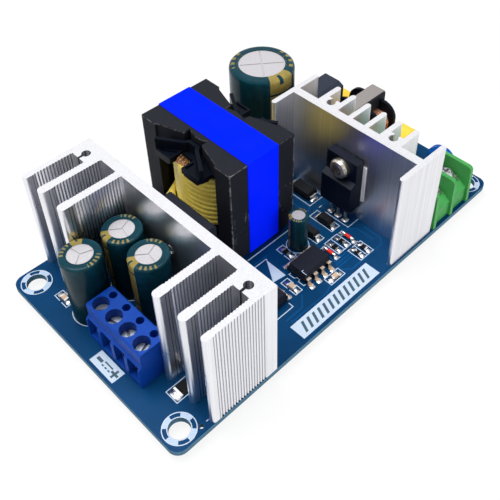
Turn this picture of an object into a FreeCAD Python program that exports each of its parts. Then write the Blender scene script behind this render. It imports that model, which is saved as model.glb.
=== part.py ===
# Open frame power supply: a circuit board with its heat sinks, transformer,
# capacitors, line filter, power semiconductors and two screw terminals.
# Units are millimetres. +X runs from the output end to the mains end,
# +Y from the front long edge to the back one, +Z up. The origin lies in the middle
# of the board's outline, on the plane that the four heat sink screw heads stand on.

import FreeCAD, Part
import math
import os

V = FreeCAD.Vector

# Circuit board
board_l = 116.0
board_w = 65.0
middle_y = 32.5
board_t = 1.6
board_corner_r = 2.8
mount_inset = 4.5
mount_hole_d = 5.0
tooling_hole_d = 1.2
tooling_hole_x = 8.2
tooling_hole_y = 1.6
lead_gap = 0.08
lead_stub = 1.7
lead_bite = 1.0

# Screws that hold the heat sinks from below
fix_head_d = 5.4
fix_head_h = 2.2
fix_shank_clear = 0.04
fix_reach = 7.0
fix_hole_clear = 0.2
cross_w = 0.7
cross_depth = 1.0
screw_point_h = 0.8

# Output heat sink, an extruded comb with serrated fins
sink_h = 30.0
out_sink_face_x = 29.6
out_plate_t = 2.85
out_fin_tip_x = 10.2
out_outer_fin_t = 1.75
out_fin_t = 2.3
out_mid_fin_y = 24.95
out_inner_fin_y = 16.95
out_boss_face_x = 23.4
out_port_x = 25.6
out_port_y = 28.3
out_port_d = 2.3
port_slot_w = 0.7
serration_pitch = 0.8
serration_depth = 0.22
serration_start = 0.4
smooth_tip = 1.6

# Input heat sink, an extruded channel with plain fins
in_sink_face_x = 78.56
in_plate_t = 2.45
in_sink_w = 43.5
in_sink_center_y = 22.1
in_fin_tip_x = 88.8
in_wing_tip_x = 71.4
in_fin_t = 1.5
in_fin_a = 2.6
in_fin_b = 7.6
in_fin_c = 12.9
in_boss_face_x = 83.8
in_port_x = 82.2
in_port_d = 2.4
in_neck_w = 1.5

# Transformer with a pot and quadrangle core
core_x = 53.4
core_y = 44.6
core_l = 32.5
core_w = 21.5
core_h = 30.3
core_lift = 2.0
core_plate_t = 4.6
core_post_d = 13.4
core_window_d = 27.6
core_leg_gap = 22.0
core_waist = 6.8
core_waist_w = 15.6
core_step = 0.5
bobbin_clear = 0.2
winding_clear = 0.05
tube_clear = 0.02
bobbin_wall = 0.9
flange_t = 1.2
flange_d = 26.6
rail_out = 15.6
rail_in = 11.3
rail_bite = 0.4
wing_front = 13.7
wing_w = 17.4
wing_gap = 4.4
wing_slot_in = 9.6
wing_corner = 0.8
wing_drop = 0.4
wing_lip_t = 0.6
wing_lip_h = 0.5
floor_tie_in = 7.0
floor_tie_w = 15.8
rib_t = 1.0
rib_rise = 3.0
rib_end = (12.7, 8.6)
rib_bend = (8.8, 2.5)
rib_middle = (7.6, 1.5)
winding_d = 26.0
turn_pitch = 1.6
turn_depth = 0.35
tape_w = 10.2
tape_t = 0.2
pin_d = 0.9
pin_pitch = 5.08
pins_per_row = 5

# Bulk capacitor
bulk_x = 80.0
bulk_y = 55.85
bulk_d = 18.2
bulk_h = 31.5
bulk_lead_pitch = 7.5
bulk_lead_d = 0.9
bulk_score = (-38, 52, 142, 232)

# Output capacitors
out_cap_d = 10.0
out_cap_h = 20.0
out_cap_lead_pitch = 5.0
out_cap_lead_d = 0.7
out_cap_1_x = 9.95
out_cap_1_y = 43.4
out_cap_2_x = 21.3
out_cap_3_x = 20.9
out_cap_2_y = 43.0
out_cap_3_y = 32.4
out_cap_spots = ((out_cap_1_x, out_cap_1_y), (out_cap_2_x, out_cap_2_y), (out_cap_3_x, out_cap_3_y))
out_cap_score_turns = (-20, 21, 21)

# Small capacitor beside the controller
small_cap_x = 60.1
small_cap_y = 22.5
small_cap_d = 5.2
small_cap_h = 11.0
small_cap_lead_pitch = 2.0
small_cap_lead_d = 0.5

# Parts common to all the capacitors
sleeve_t = 0.2
bulk_window = 0.71
out_cap_window = 0.62
small_cap_window = 0.68
shoulder_share = 0.065
shoulder_steps = 3
bung_lift = 0.4
can_groove_up = 2.4
can_groove_depth = 0.35
can_groove_half = 0.5
score_w = 0.4
score_depth = 0.2
score_share = 0.94

# Output terminal with rising clamps
term_x = 4.8
term_y = 17.6
term_pitch = 5.0
term_poles = 4
term_depth = 8.4
term_h = 11.5
term_step = 0.9
term_step_z = 6.6
term_step_slope = 1.0
term_back_bevel = 0.3
term_front_bevel = 0.5
term_end_wall = 0.05
term_well_x = 3.4
term_well_d = 4.0
term_probe_x = 6.8
term_probe_d = 2.0
term_probe_depth = 3.0
term_tunnel_w = 3.8
term_tunnel_z0 = 1.2
term_tunnel_z1 = 7.0
cage_w = 3.6
cage_l = 3.8
cage_wall = 0.6
cage_seat = 0.05
term_screw_head_d = 3.7
term_screw_head_h = 1.6
term_screw_d = 2.2
term_screw_tip_up = 2.2
term_head_up = 0.3
term_slot_w = 0.7
term_slot_up = 0.9
term_slot_turn = 25
term_slot_step = 40
term_pin_w = 1.0
term_pin_t = 0.7
term_pin_in = 0.9

# Input terminal with barrier plates
barrier_x = 89.6
barrier_y = 0.15
barrier_pitch = 7.62
barrier_poles = 2
barrier_t = 1.2
barrier_h = 12.3
barrier_depth = 11.7
barrier_rake = 0.5
barrier_round = 1.3
barrier_block_setback = 0.9
barrier_block_z = 5.0
barrier_floor_z = 6.6
barrier_floor_y = 2.2
barrier_floor_slope = 0.9
barrier_back_t = 1.5
contact_t = 0.9
contact_w = 5.1
contact_l = 6.1
contact_back = 0.4
contact_pin_in = 0.2
barrier_screw_y = 6.0
barrier_screw_head_d = 4.4
barrier_screw_head_h = 1.8
barrier_screw_d = 2.8
barrier_washer_t = 0.7
barrier_screw_reach = 3.5
barrier_bore_clear = 0.05
barrier_washer_in = 0.5
barrier_pin_w = 1.2

# Switching transistor on the input heat sink
switch_w = 10.1
switch_t = 4.5
switch_tab_t = 2.7
switch_z0 = 5.4
switch_h = 16.0
switch_tab_h = 6.7
switch_hole_down = 3.3
switch_lead_w = 0.8
switch_lead_t = 0.5
switch_lead_out = 2.5
switch_screw_past = 1.0
pad_t = 0.25
switch_pad_w = 0.9
switch_pad_h = -2.0
rect_pad_w = 1.4
rect_pad_h = 1.3
device_lead_pitch = 2.54

# Output rectifier on the output heat sink
rect_y = 32.5
rect_w = 15.8
rect_t = 4.9
rect_tab_t = 4.9
rect_z0 = 4.6
rect_h = 20.6
rect_tab_h = 6.0
rect_hole_down = 7.8
rect_lead_w = 1.2
rect_lead_t = 0.6
rect_lead_out = 2.4
rect_lead_pitch = 5.45

# Screws of both power devices
device_screw_d = 2.9
device_head_d = 5.6
device_head_h = 2.1
device_fit = 0.05
device_bevel = 0.5

# Bridge rectifier
bridge_x = 89.9
bridge_y = 44.1
bridge_w = 11.8
bridge_t = 7.1
bridge_h = 17.8
bridge_lift = 2.2
bridge_bevel_w = 1.7
bridge_bevel_h = 0.9
bridge_lead_pitch = 3.1
bridge_lead_w = 1.0
bridge_lead_t = 0.6

# Film capacitors
film_l = 13.0
film_w = 5.2
film_h = 11.6
film_lift = 0.4
film_edge = 0.4
film_lead_pitch = 10.0
film_lead_d = 0.7
film_1_x = 106.2
film_1_y = 52.0
film_2_x = 101.6
film_2_y = 24.1

# Line filter choke
choke_x = 98.6
choke_y = 35.5
choke_core_l = 17.2
choke_core_w = 5.2
choke_top = 19.7
choke_limb = 3.8
choke_yoke = 2.6
choke_axis_z = 8.3
choke_tube_wall = 0.8
choke_tube_gap = 0.15
choke_reach = 6.9
choke_flange_t = 1.0
choke_flange_w = 16.6
choke_flange_z0 = 0.6
choke_flange_round = 4.2
choke_flange_top = 18.4
choke_guard_t = 0.8
choke_guard_top = 16.9
choke_coil_margin = 1.3
choke_coil_round = 3.2
choke_coil_gap = 0.3
choke_wire_pitch = 0.95
choke_wire_depth = 0.22
strap_w = 4.4
strap_t = 0.4
strap_drop = 9.0
choke_foot_w = 3.0
choke_foot_h = 1.2
choke_pin_w = 0.7
choke_pin_in = 2.2

# Safety capacitor, thermistor and fuse
disc_x = 109.2
disc_y = 12.5
disc_d = 8.8
disc_t = 4.0
disc_pitch = 5.0
thermistor_x = 95.8
thermistor_y = 57.2
thermistor_d = 10.5
thermistor_t = 4.4
thermistor_pitch = 5.0
disc_lead_d = 0.7
disc_lift = 1.0
disc_round = 1.2
fuse_x = 95.6
fuse_y = 17.4
fuse_d = 7.8
fuse_h = 7.6
fuse_round = 0.5
fuse_pitch = 5.08

# Controller and optical coupler, both with gull wing leads
ctrl_x = 56.3
ctrl_y = 14.9
ctrl_l = 9.5
ctrl_w = 6.0
ctrl_h = 3.3
ctrl_leads_per_side = 4
ctrl_span = 9.6
coupler_x = 41.4
coupler_y = 13.5
coupler_l = 4.6
coupler_w = 6.4
coupler_h = 3.4
coupler_leads_per_side = 2
coupler_span = 9.6
gull_pitch = 2.54
gull_w = 1.2
gull_t = 0.25
gull_foot = 1.0
body_standoff = 0.25
body_draft = 0.35

# Surface mounted parts
chip_l = 2.0
chip_w = 1.25
chip_t = 0.55
big_chip_l = 6.3
big_chip_w = 2.9
big_chip_t = 0.6
ceramic_l = 2.0
ceramic_w = 1.25
ceramic_t = 0.85
sma_l = 4.4
sma_w = 2.7
sma_t = 2.1
sma_foot = 0.5
smc_l = 6.8
smc_w = 4.2
smc_t = 2.3
melf_l = 3.6
melf_d = 1.25
melf_cap = 0.55
melf_glass_share = 0.8
diode_foot_share = 0.56
diode_arm_share = 0.55
diode_foot_in = 1.2
diode_arm_in = 0.3
gate_resistor_1_x = 69.0
gate_resistor_2_x = 66.2
gate_resistor_y = 14.8
sense_resistor_1_x = 71.5
sense_resistor_2_x = 69.0
sense_resistor_y = 9.4
feed_resistor_x = 56.0
feed_resistor_y = 22.7
output_resistor_x = 12.65
output_resistor_y = 11.2
ceramic_1_x = 48.75
ceramic_1_y = 13.7
ceramic_2_x = 58.8
ceramic_2_y = 8.2
ceramic_3_x = 6.6
ceramic_3_y = 51.0
small_diode_1_x = 71.3
small_diode_2_x = 65.3
small_diode_y = 22.7
clamp_diode_x = 75.7
clamp_diode_y = 35.0
glass_diode_1_x = 71.3
glass_diode_1_y = 14.6
glass_diode_2_x = 63.8
glass_diode_2_y = 14.3

# Heights that follow from the values above
board_z0 = fix_head_h
board_z1 = board_z0 + board_t
lead_z0 = board_z0 - lead_stub
sink_z1 = board_z1 + sink_h

holes = []


def at_x(x):
    """Place along the board, given from its output end."""
    return x - board_l / 2


def at_y(y):
    """Place across the board, given from a front line that lies middle_y before its middle."""
    return y - middle_y


def block(x0, x1, y0, y1, z0, z1):
    """Box between two corners."""
    return Part.makeBox(x1 - x0, y1 - y0, z1 - z0, V(x0, y0, z0))


def centred_block(x, y, l, w, z0, z1):
    """Box with its plan centred on a point."""
    return block(x - l / 2, x + l / 2, y - w / 2, y + w / 2, z0, z1)


def rod(d, x, y, z0, z1):
    """Upright cylinder."""
    return Part.makeCylinder(d / 2, z1 - z0, V(x, y, z0))


def prism_z(points, z0, z1):
    """Plan outline raised from z0 to z1."""
    wire = Part.makePolygon([V(x, y, z0) for x, y in points + points[:1]])
    return Part.Face(wire).extrude(V(0, 0, z1 - z0))


def prism_x(points, x0, x1):
    """Outline in Y and Z carried along X."""
    wire = Part.makePolygon([V(x0, y, z) for y, z in points + points[:1]])
    return Part.Face(wire).extrude(V(x1 - x0, 0, 0))


def prism_y(points, y0, y1):
    """Outline in X and Z carried along Y."""
    wire = Part.makePolygon([V(x, y0, z) for x, z in points + points[:1]])
    return Part.Face(wire).extrude(V(0, y1 - y0, 0))


def ring_solid(profile, x, y):
    """Profile of radius and height turned about an upright axis."""
    wire = Part.makePolygon([V(x + r, y, z) for r, z in profile + profile[:1]])
    return Part.Face(wire).revolve(V(x, y, 0), V(0, 0, 1), 360)


def joined(shapes):
    """One solid out of shapes that touch or overlap."""
    return shapes[0].multiFuse(shapes[1:]).removeSplitter()


def save(name, shapes):
    """Write one node, made of one solid or of several separate ones."""
    solids = [solid for shape in shapes for solid in shape.Solids]
    shape = solids[0] if len(solids) == 1 else Part.makeCompound(solids)
    shape.exportStep("parts/" + name + ".step")
    print(name, len(solids), "solids, valid", shape.isValid())


def lead(x, y, d, z1):
    """Round lead from its trimmed end below the board up to z1, with its hole."""
    holes.append((x, y, d + 2 * lead_gap))
    return rod(d, x, y, lead_z0, z1)


def flat_lead(x, y, l, w, z1):
    """Flat lead through a round hole that takes its diagonal."""
    holes.append((x, y, math.hypot(l, w) + 2 * lead_gap))
    return centred_block(x, y, l, w, lead_z0, z1)


def pan_screw(head_d, head_h, shank_d, length, washer_w=0.0):
    """Cross recessed screw with its seat at the origin, head up and shank down."""
    head_r, shank_r = head_d / 2, shank_d / 2
    seat = barrier_washer_t if washer_w else 0.0
    top = seat + head_h
    profile = [(0, -length), (shank_r * 0.6, -length), (shank_r, -length + screw_point_h), (shank_r, 0),
               (shank_r, seat), (head_r, seat), (head_r, seat + head_h * 0.5),
               (head_r * 0.86, seat + head_h * 0.85), (head_r * 0.6, top), (0, top)]
    if not washer_w:
        profile.remove((shank_r, seat))
    screw = ring_solid(profile, 0, 0)
    if washer_w:
        screw = joined([screw, centred_block(0, 0, washer_w, washer_w, 0, seat)])
    size = head_d * 0.55
    for l, w in ((size, cross_w), (cross_w, size)):
        screw = screw.cut(centred_block(0, 0, l, w, top - cross_depth, top + 1))
    return screw


def placed(shape, x, y, z, axis=None, angle=0):
    """Shape turned about one axis through the origin and then moved to its seat."""
    if axis:
        shape.rotate(V(0, 0, 0), axis, angle)
    shape.translate(V(x, y, z))
    return shape


def serrated_side(x0, x1, y, inward):
    """Corner points of a row of small grooves along a fin's face, from x0 to x1."""
    way = 1 if x1 > x0 else -1
    count = int(abs(x1 - x0) / serration_pitch)
    points = []
    for i in range(count):
        start = x0 + way * i * serration_pitch
        points.append((start, y))
        points.append((start + way * serration_pitch / 2, y + inward * serration_depth))
    points.append((x0 + way * count * serration_pitch, y))
    return points


def fin(x_root, x_tip, y0, y1, serrated):
    """Upright fin with a round tip, rooted in a plate at x_root."""
    way = 1 if x_tip > x_root else -1
    r = (y1 - y0) / 2
    x_round = x_tip - way * r
    low = [(x_root - way * 0.5, y0)]
    high = [(x_root - way * 0.5, y1)]
    if serrated:
        x_a = x_root + way * serration_start
        x_b = x_round - way * smooth_tip
        low += serrated_side(x_a, x_b, y0, 1)
        high += serrated_side(x_a, x_b, y1, -1)
    low.append((x_round, y0))
    high.append((x_round, y1))
    z = board_z1
    arc = Part.Arc(V(x_round, y0, z), V(x_tip, (y0 + y1) / 2, z), V(x_round, y1, z)).toShape()
    edges_a = Part.makePolygon([V(x, y, z) for x, y in low]).Edges
    edges_b = Part.makePolygon([V(x, y, z) for x, y in reversed(high)]).Edges
    root = Part.makeLine(V(high[0][0], y1, z), V(low[0][0], y0, z))
    wire = Part.Wire(edges_a + [arc] + edges_b + [root])
    return Part.Face(wire).extrude(V(0, 0, sink_h))


def screw_port(x, y, d, x_mouth, slot_w):
    """Round screw channel with the slot that opens it to the nearest bay."""
    channel = rod(d, x, y, board_z1 - 1, sink_z1 + 1)
    x0, x1 = min(x, x_mouth), max(x, x_mouth)
    slot = block(x0, x1, y - slot_w / 2, y + slot_w / 2, board_z1 - 1, sink_z1 + 1)
    return channel.fuse(slot)


def fixing_screw(x, y, port_d):
    """Pan head screw that comes up through the board into a heat sink's channel."""
    shank_d = port_d - 2 * fix_shank_clear
    holes.append((x, y, shank_d + 2 * fix_hole_clear))
    screw = pan_screw(fix_head_d, fix_head_h, shank_d, board_t + fix_reach)
    return placed(screw, x, y, board_z0, V(1, 0, 0), 180)


def output_heatsink():
    """Comb of six serrated fins on one plate, and the screws under it."""
    face_x = at_x(out_sink_face_x)
    back_x = face_x - out_plate_t
    tip_x = at_x(out_fin_tip_x)
    half = board_w / 2
    plate = block(back_x, face_x, -half, half, board_z1, sink_z1)
    pieces = [plate]
    for side in (-1, 1):
        outer = sorted((side * half, side * (half - out_outer_fin_t)))
        pieces.append(fin(back_x, tip_x, outer[0], outer[1], True))
        for centre in (out_mid_fin_y, out_inner_fin_y):
            y0 = side * centre - out_fin_t / 2
            pieces.append(fin(back_x, tip_x, y0, y0 + out_fin_t, True))
        boss = sorted((side * (half - out_outer_fin_t / 2), side * out_mid_fin_y))
        pieces.append(block(at_x(out_boss_face_x), face_x, boss[0], boss[1], board_z1, sink_z1))
    sink = joined(pieces)
    screws = []
    for side in (-1, 1):
        port = (at_x(out_port_x), side * out_port_y)
        sink = sink.cut(screw_port(port[0], port[1], out_port_d, at_x(out_boss_face_x) - 1, port_slot_w))
        screws.append(fixing_screw(port[0], port[1], out_port_d))
    hole_z = board_z1 + rect_z0 + rect_h - rect_hole_down
    sink = sink.cut(Part.makeCylinder(device_screw_d / 2, out_plate_t + 2,
                                      V(back_x - 1, at_y(rect_y), hole_z), V(1, 0, 0)))
    save("output_heatsink", [sink])
    return screws


def input_heatsink():
    """Plate with two long side wings, six plain fins and two screw channels."""
    face_x = at_x(in_sink_face_x)
    back_x = face_x + in_plate_t
    mid_y = at_y(in_sink_center_y)
    half = in_sink_w / 2
    tip_x = at_x(in_fin_tip_x)
    pieces = [block(face_x, back_x, mid_y - half, mid_y + half, board_z1, sink_z1)]
    for side in (-1, 1):
        outer = sorted((mid_y + side * half, mid_y + side * (half - in_fin_t)))
        pieces.append(fin(back_x, tip_x, outer[0], outer[1], False))
        pieces.append(fin(face_x, at_x(in_wing_tip_x), outer[0], outer[1], False))
        for centre in (in_fin_a, in_fin_b, in_fin_c):
            y0 = mid_y + side * centre - in_fin_t / 2
            pieces.append(fin(back_x, tip_x, y0, y0 + in_fin_t, False))
        bay = sorted((mid_y + side * in_fin_b, mid_y + side * in_fin_c))
        pieces.append(block(face_x, at_x(in_boss_face_x), bay[0], bay[1], board_z1, sink_z1))
    sink = joined(pieces)
    screws = []
    for side in (-1, 1):
        port = (at_x(in_port_x), mid_y + side * (in_fin_b + in_fin_c) / 2)
        sink = sink.cut(screw_port(port[0], port[1], in_port_d, at_x(in_boss_face_x) + 1, in_neck_w))
        screws.append(fixing_screw(port[0], port[1], in_port_d))
    hole_z = board_z1 + switch_z0 + switch_h - switch_hole_down
    sink = sink.cut(Part.makeCylinder(device_screw_d / 2, in_plate_t + 2,
                                      V(face_x - 1, mid_y, hole_z), V(1, 0, 0)))
    save("input_heatsink", [sink])
    return screws


def core_outline(z):
    """Back plate outline of a core half: full width at the legs, waisted at the post."""
    x, y = at_x(core_x), at_y(core_y)
    half_w, half_l = core_w / 2, core_l / 2
    gap = core_leg_gap / 2
    waist_y = core_waist / 2
    waist_x = core_waist_w / 2
    arc_r = core_post_d / 2
    arc_x = math.sqrt(arc_r ** 2 - waist_y ** 2)
    edges = []
    for side in (-1, 1):
        way = -side
        def spot(px, py):
            return V(x + side * px, y + way * py, z)
        first = [spot(half_w, -half_l), spot(half_w, -gap), spot(half_w - core_step, -gap),
                 spot(waist_x, -waist_y), spot(arc_x, -waist_y)]
        second = [spot(arc_x, waist_y), spot(waist_x, waist_y), spot(half_w - core_step, gap),
                  spot(half_w, gap), spot(half_w, half_l)]
        edges += Part.makePolygon(first).Edges
        edges.append(Part.Arc(first[-1], spot(arc_r, 0), second[0]).toShape())
        edges += Part.makePolygon(second).Edges
        edges.append(Part.makeLine(second[-1], V(x - side * half_w, y + way * half_l, z)))
    return Part.Face(Part.Wire(Part.__sortEdges__(edges)))


def core_half(z_back, z_joint):
    """Half of the core: back plate, round centre post and two outer legs."""
    x, y = at_x(core_x), at_y(core_y)
    way = 1 if z_joint > z_back else -1
    plate = core_outline(z_back).extrude(V(0, 0, way * core_plate_t))
    z_inner = z_back + way * core_plate_t
    z0, z1 = min(z_inner, z_joint), max(z_inner, z_joint)
    legs = centred_block(x, y, core_w, core_l, z0, z1)
    legs = legs.cut(rod(core_window_d, x, y, z0 - 1, z1 + 1))
    legs = legs.cut(centred_block(x, y, core_w + 2, core_leg_gap, z0 - 1, z1 + 1))
    post = rod(core_post_d, x, y, z0, z1)
    return joined([plate, post] + legs.Solids)


def wing_outline(side):
    """Plan of one pair of flange wings, with the wire gap between them."""
    x, y = at_x(core_x), at_y(core_y)
    front = side * wing_front
    root = side * flange_d * 0.3
    half = wing_w / 2
    gap = wing_gap / 2
    outlines = []
    for hand in (-1, 1):
        outlines.append([(x + root, y + hand * half), (x + side * core_w / 2, y + hand * half),
                         (x + front, y + hand * (half - wing_corner)),
                         (x + front, y + hand * (gap + wing_corner)),
                         (x + front - side * wing_corner, y + hand * gap), (x + root, y + hand * gap)])
    return outlines


def pocket_outline(side, hand, inset):
    """Triangle in front of a wing's rib, moved in from its three sides by inset."""
    x, y = at_x(core_x), at_y(core_y)
    front = wing_front - inset
    gap = wing_gap / 2 + inset
    rise = (rib_end[1] - rib_bend[1]) / (rib_end[0] - rib_bend[0])
    lean = math.hypot(1, rise)
    offset = rib_t / 2 + inset
    def on_rib(px):
        return rib_bend[1] + (px - rib_bend[0]) * rise - offset * lean
    near = rib_bend[0] + (gap + offset * lean - rib_bend[1]) / rise
    points = [(near, gap), (front, gap), (front, min(on_rib(front), wing_w / 2 - inset - wing_corner))]
    return [(x + side * px, y + hand * py) for px, py in points]


def rib_outline(side):
    """Plan of the wall that bends round the core's post, from one wing to the other."""
    x, y = at_x(core_x), at_y(core_y)
    line = [FreeCAD.Vector(px, py, 0) for px, py in (rib_end, rib_bend, rib_middle)]
    line += [V(p.x, -p.y, 0) for p in reversed(line)]
    inner, outer = [], []
    for i, here in enumerate(line):
        steps = []
        if i:
            steps.append((here - line[i - 1]).normalize())
        if i + 1 < len(line):
            steps.append((line[i + 1] - here).normalize())
        first = V(-steps[0].y, steps[0].x, 0)
        across = V(-sum(w.y for w in steps), sum(w.x for w in steps), 0).normalize()
        across = across * (rib_t / 2 / across.dot(first))
        inner.append(here + across)
        outer.append(here - across)
    return [(x + side * p.x, y + p.y) for p in inner + outer[::-1]]


def transformer():
    """Core halves, bobbin, winding, tape band and pins."""
    x, y = at_x(core_x), at_y(core_y)
    z0 = board_z1 + core_lift
    z1 = z0 + core_h
    mid = (z0 + z1) / 2
    save("transformer_core_upper", [core_half(z1, mid)])
    save("transformer_core_lower", [core_half(z0, mid)])

    window0 = z0 + core_plate_t + bobbin_clear
    window1 = z1 - core_plate_t - bobbin_clear
    tube_in = core_post_d + 2 * bobbin_clear
    tube_out = tube_in + 2 * bobbin_wall
    pieces = [rod(tube_out, x, y, window0, window1)]
    pieces.append(rod(flange_d, x, y, window0, window0 + flange_t))
    pieces.append(rod(flange_d, x, y, window1 - flange_t, window1))
    rail_y = core_leg_gap - 2 * bobbin_clear
    pin_x = (rail_in + rail_out) / 2
    pins = []
    for side in (-1, 1):
        for outline in wing_outline(side):
            pieces.append(prism_z(outline, window1 - flange_t, window1))
            pieces.append(prism_z(outline[1:5], window1 - flange_t - wing_drop, window1 - flange_t))
        pieces.append(prism_z(rib_outline(side), window1 - flange_t, window1 + rib_rise))
        for hand in (-1, 1):
            rim = prism_z(pocket_outline(side, hand, 0), window1 - flange_t, window1 + wing_lip_h)
            pieces.append(rim.cut(prism_z(pocket_outline(side, hand, wing_lip_t), window1, window1 + 1)))
        ends = sorted((x + side * rail_in, x + side * rail_out))
        pieces.append(block(ends[0], ends[1], y - rail_y / 2, y + rail_y / 2, board_z1, window0 + rail_bite))
        tie = sorted((x + side * floor_tie_in, x + side * rail_in))
        pieces.append(block(tie[0], tie[1], y - floor_tie_w / 2, y + floor_tie_w / 2,
                            window0, window0 + flange_t))
        for i in range(pins_per_row):
            pin_y = y + (i - (pins_per_row - 1) / 2) * pin_pitch
            pins.append(lead(x + side * pin_x, pin_y, pin_d, window0))
    bobbin = joined(pieces).cut(rod(tube_in, x, y, window0 - 1, window1 + 1))
    for side in (-1, 1):
        slot = sorted((x + side * wing_slot_in, x + side * (wing_front + 1)))
        bobbin = bobbin.cut(block(slot[0], slot[1], y - wing_gap / 2, y + wing_gap / 2,
                                  window1 - flange_t - wing_drop - 1, window1 + rib_rise + 1))
    for pin in pins:
        bobbin = bobbin.cut(pin)
    save("transformer_bobbin", [bobbin])
    save("transformer_pins", pins)

    low = window0 + flange_t + winding_clear
    high = window1 - flange_t - winding_clear
    inner_r = tube_out / 2 + tube_clear
    outer_r = winding_d / 2
    turns = max(1, round((high - low) / turn_pitch))
    step = (high - low) / turns
    profile = [(inner_r, low), (outer_r - turn_depth, low)]
    for i in range(turns):
        profile.append((outer_r, low + (i + 0.5) * step))
        profile.append((outer_r - turn_depth, low + (i + 1) * step))
    profile.append((inner_r, high))
    winding = ring_solid(profile, x, y)
    for side in (-1, 1):
        for outline in wing_outline(side):
            lug = prism_z(outline[1:5], high - wing_drop - winding_clear, high + 1)
            winding = winding.cut(lug)
    save("transformer_winding", [winding])

    core = centred_block(x, y, tape_w + 2, core_l, z0, z1)
    band = centred_block(x, y, tape_w, core_l + 2 * tape_t, z0 - tape_t, z1 + tape_t)
    save("transformer_tape", [band.cut(core)])


def shoulder(r, z, radius):
    """Rounded top corner of a can or its sleeve, from the wall to the top, about one centre."""
    turns = [math.pi / 2 * i / shoulder_steps for i in range(shoulder_steps + 1)]
    return [(r + radius * math.cos(a), z + radius * math.sin(a)) for a in turns]


def can_capacitor(name, x, y, d, h, window, pitch, lead_d, along_x, score_angles):
    """Aluminium can with a vent score, its shrunk sleeve and its two leads."""
    z0 = board_z1 + bung_lift
    z1 = z0 + h
    can_r = d / 2 - sleeve_t
    groove_z = z0 + can_groove_up
    round_r = d * shoulder_share
    inner_round = shoulder(d / 2 - round_r, z1 - round_r, round_r - sleeve_t)
    outer_round = shoulder(d / 2 - round_r, z1 - round_r, round_r)
    can_profile = [(0, z0), (can_r, z0), (can_r, groove_z - can_groove_half),
                   (can_r - can_groove_depth, groove_z),
                   (can_r, groove_z + can_groove_half)] + inner_round + [(0, z1 - sleeve_t)]
    can = ring_solid(can_profile, x, y)
    lip_r = d / 2 * window
    for angle in score_angles:
        arm = block(x, x + lip_r * score_share, y - score_w / 2, y + score_w / 2,
                    z1 - sleeve_t - score_depth, z1)
        arm.rotate(V(x, y, 0), V(0, 0, 1), angle)
        can = can.cut(arm)
    sleeve_profile = [(can_r, z0), (d / 2, z0)] + outer_round + [(lip_r, z1), (lip_r, z1 - sleeve_t)]
    sleeve_profile += inner_round[::-1]
    sleeve = ring_solid(sleeve_profile, x, y)
    dx, dy = (pitch / 2, 0) if along_x else (0, pitch / 2)
    leads = [lead(x - dx, y - dy, lead_d, z0), lead(x + dx, y + dy, lead_d, z0)]
    save(name + "_can", [can])
    save(name + "_sleeve", [sleeve])
    save(name + "_leads", leads)


def output_terminal():
    """Four pole terminal: stepped housing, rising cages, slotted screws and pins."""
    x0, y0 = at_x(term_x), at_y(term_y)
    width = term_pitch * term_poles
    z0, z1 = board_z1, board_z1 + term_h
    back = x0 + term_depth
    step_x = x0 + term_step
    side = [(x0, z0), (back, z0), (back, z1 - term_back_bevel), (back - term_back_bevel, z1),
            (step_x + term_front_bevel, z1), (step_x, z1 - term_front_bevel),
            (step_x, z0 + term_step_z + term_step_slope), (x0, z0 + term_step_z)]
    housing = prism_y(side, y0 + term_end_wall, y0 + width - term_end_wall)
    screws, cages, pins = [], [], []
    for i in range(term_poles):
        y = y0 + (i + 0.5) * term_pitch
        x = x0 + term_well_x
        tunnel_z0, tunnel_z1 = z0 + term_tunnel_z0, z0 + term_tunnel_z1
        tunnel = block(x0 - 1, x + cage_l / 2 + cage_seat, y - term_tunnel_w / 2, y + term_tunnel_w / 2,
                       tunnel_z0, tunnel_z1)
        well = rod(term_well_d, x, y, tunnel_z1 - cage_wall, z1 + 1)
        probe = rod(term_probe_d, x0 + term_probe_x, y, z1 - term_probe_depth, z1 + 1)
        pin_x = x + cage_l / 2 - term_pin_in
        pin = flat_lead(pin_x, y, term_pin_t, term_pin_w, tunnel_z0 + cage_seat)
        housing = housing.cut(tunnel).cut(well).cut(probe).cut(pin)
        cage_z0, cage_z1 = tunnel_z0 + cage_seat, tunnel_z1 - cage_seat
        cage = centred_block(x, y, cage_l, cage_w, cage_z0, cage_z1)
        cage = cage.cut(block(x - cage_l, x + cage_l, y - cage_w / 2 + cage_wall, y + cage_w / 2 - cage_wall,
                              cage_z0 + cage_wall, cage_z1 - 2 * cage_wall))
        cage = cage.cut(rod(term_screw_d + 2 * cage_seat, x, y, cage_z1 - 3 * cage_wall, cage_z1 + 1))
        head_z0 = cage_z1 + term_head_up
        shank = rod(term_screw_d, x, y, cage_z0 + term_screw_tip_up, head_z0)
        head = rod(term_screw_head_d, x, y, head_z0, head_z0 + term_screw_head_h)
        slot = centred_block(x, y, term_screw_head_d + 1, term_slot_w,
                             head_z0 + term_slot_up, head_z0 + term_screw_head_h + 1)
        slot.rotate(V(x, y, 0), V(0, 0, 1), term_slot_turn + term_slot_step * i)
        screws.append(joined([head, shank]).cut(slot))
        cages.append(cage)
        pins.append(pin)
    save("output_terminal_housing", [housing])
    save("output_terminal_screws", screws)
    save("output_terminal_cages", cages)
    save("output_terminal_pins", pins)


def barrier_plate(x, y0, z0):
    """Upright divider with a raked front edge and a rounded top corner."""
    y1 = y0 + barrier_depth
    z1 = z0 + barrier_h
    points = [(y0, z0), (y1, z0), (y1, z1), (y0 + barrier_rake, z1)]
    plate = prism_x(points, x, x + barrier_t)
    corner = [edge for edge in plate.Edges
              if edge.BoundBox.XLength > barrier_t / 2 and edge.BoundBox.ZMin > z1 - 0.01
              and edge.BoundBox.YMax < y0 + barrier_rake + 0.01]
    return plate.makeFillet(barrier_round, corner)


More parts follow.
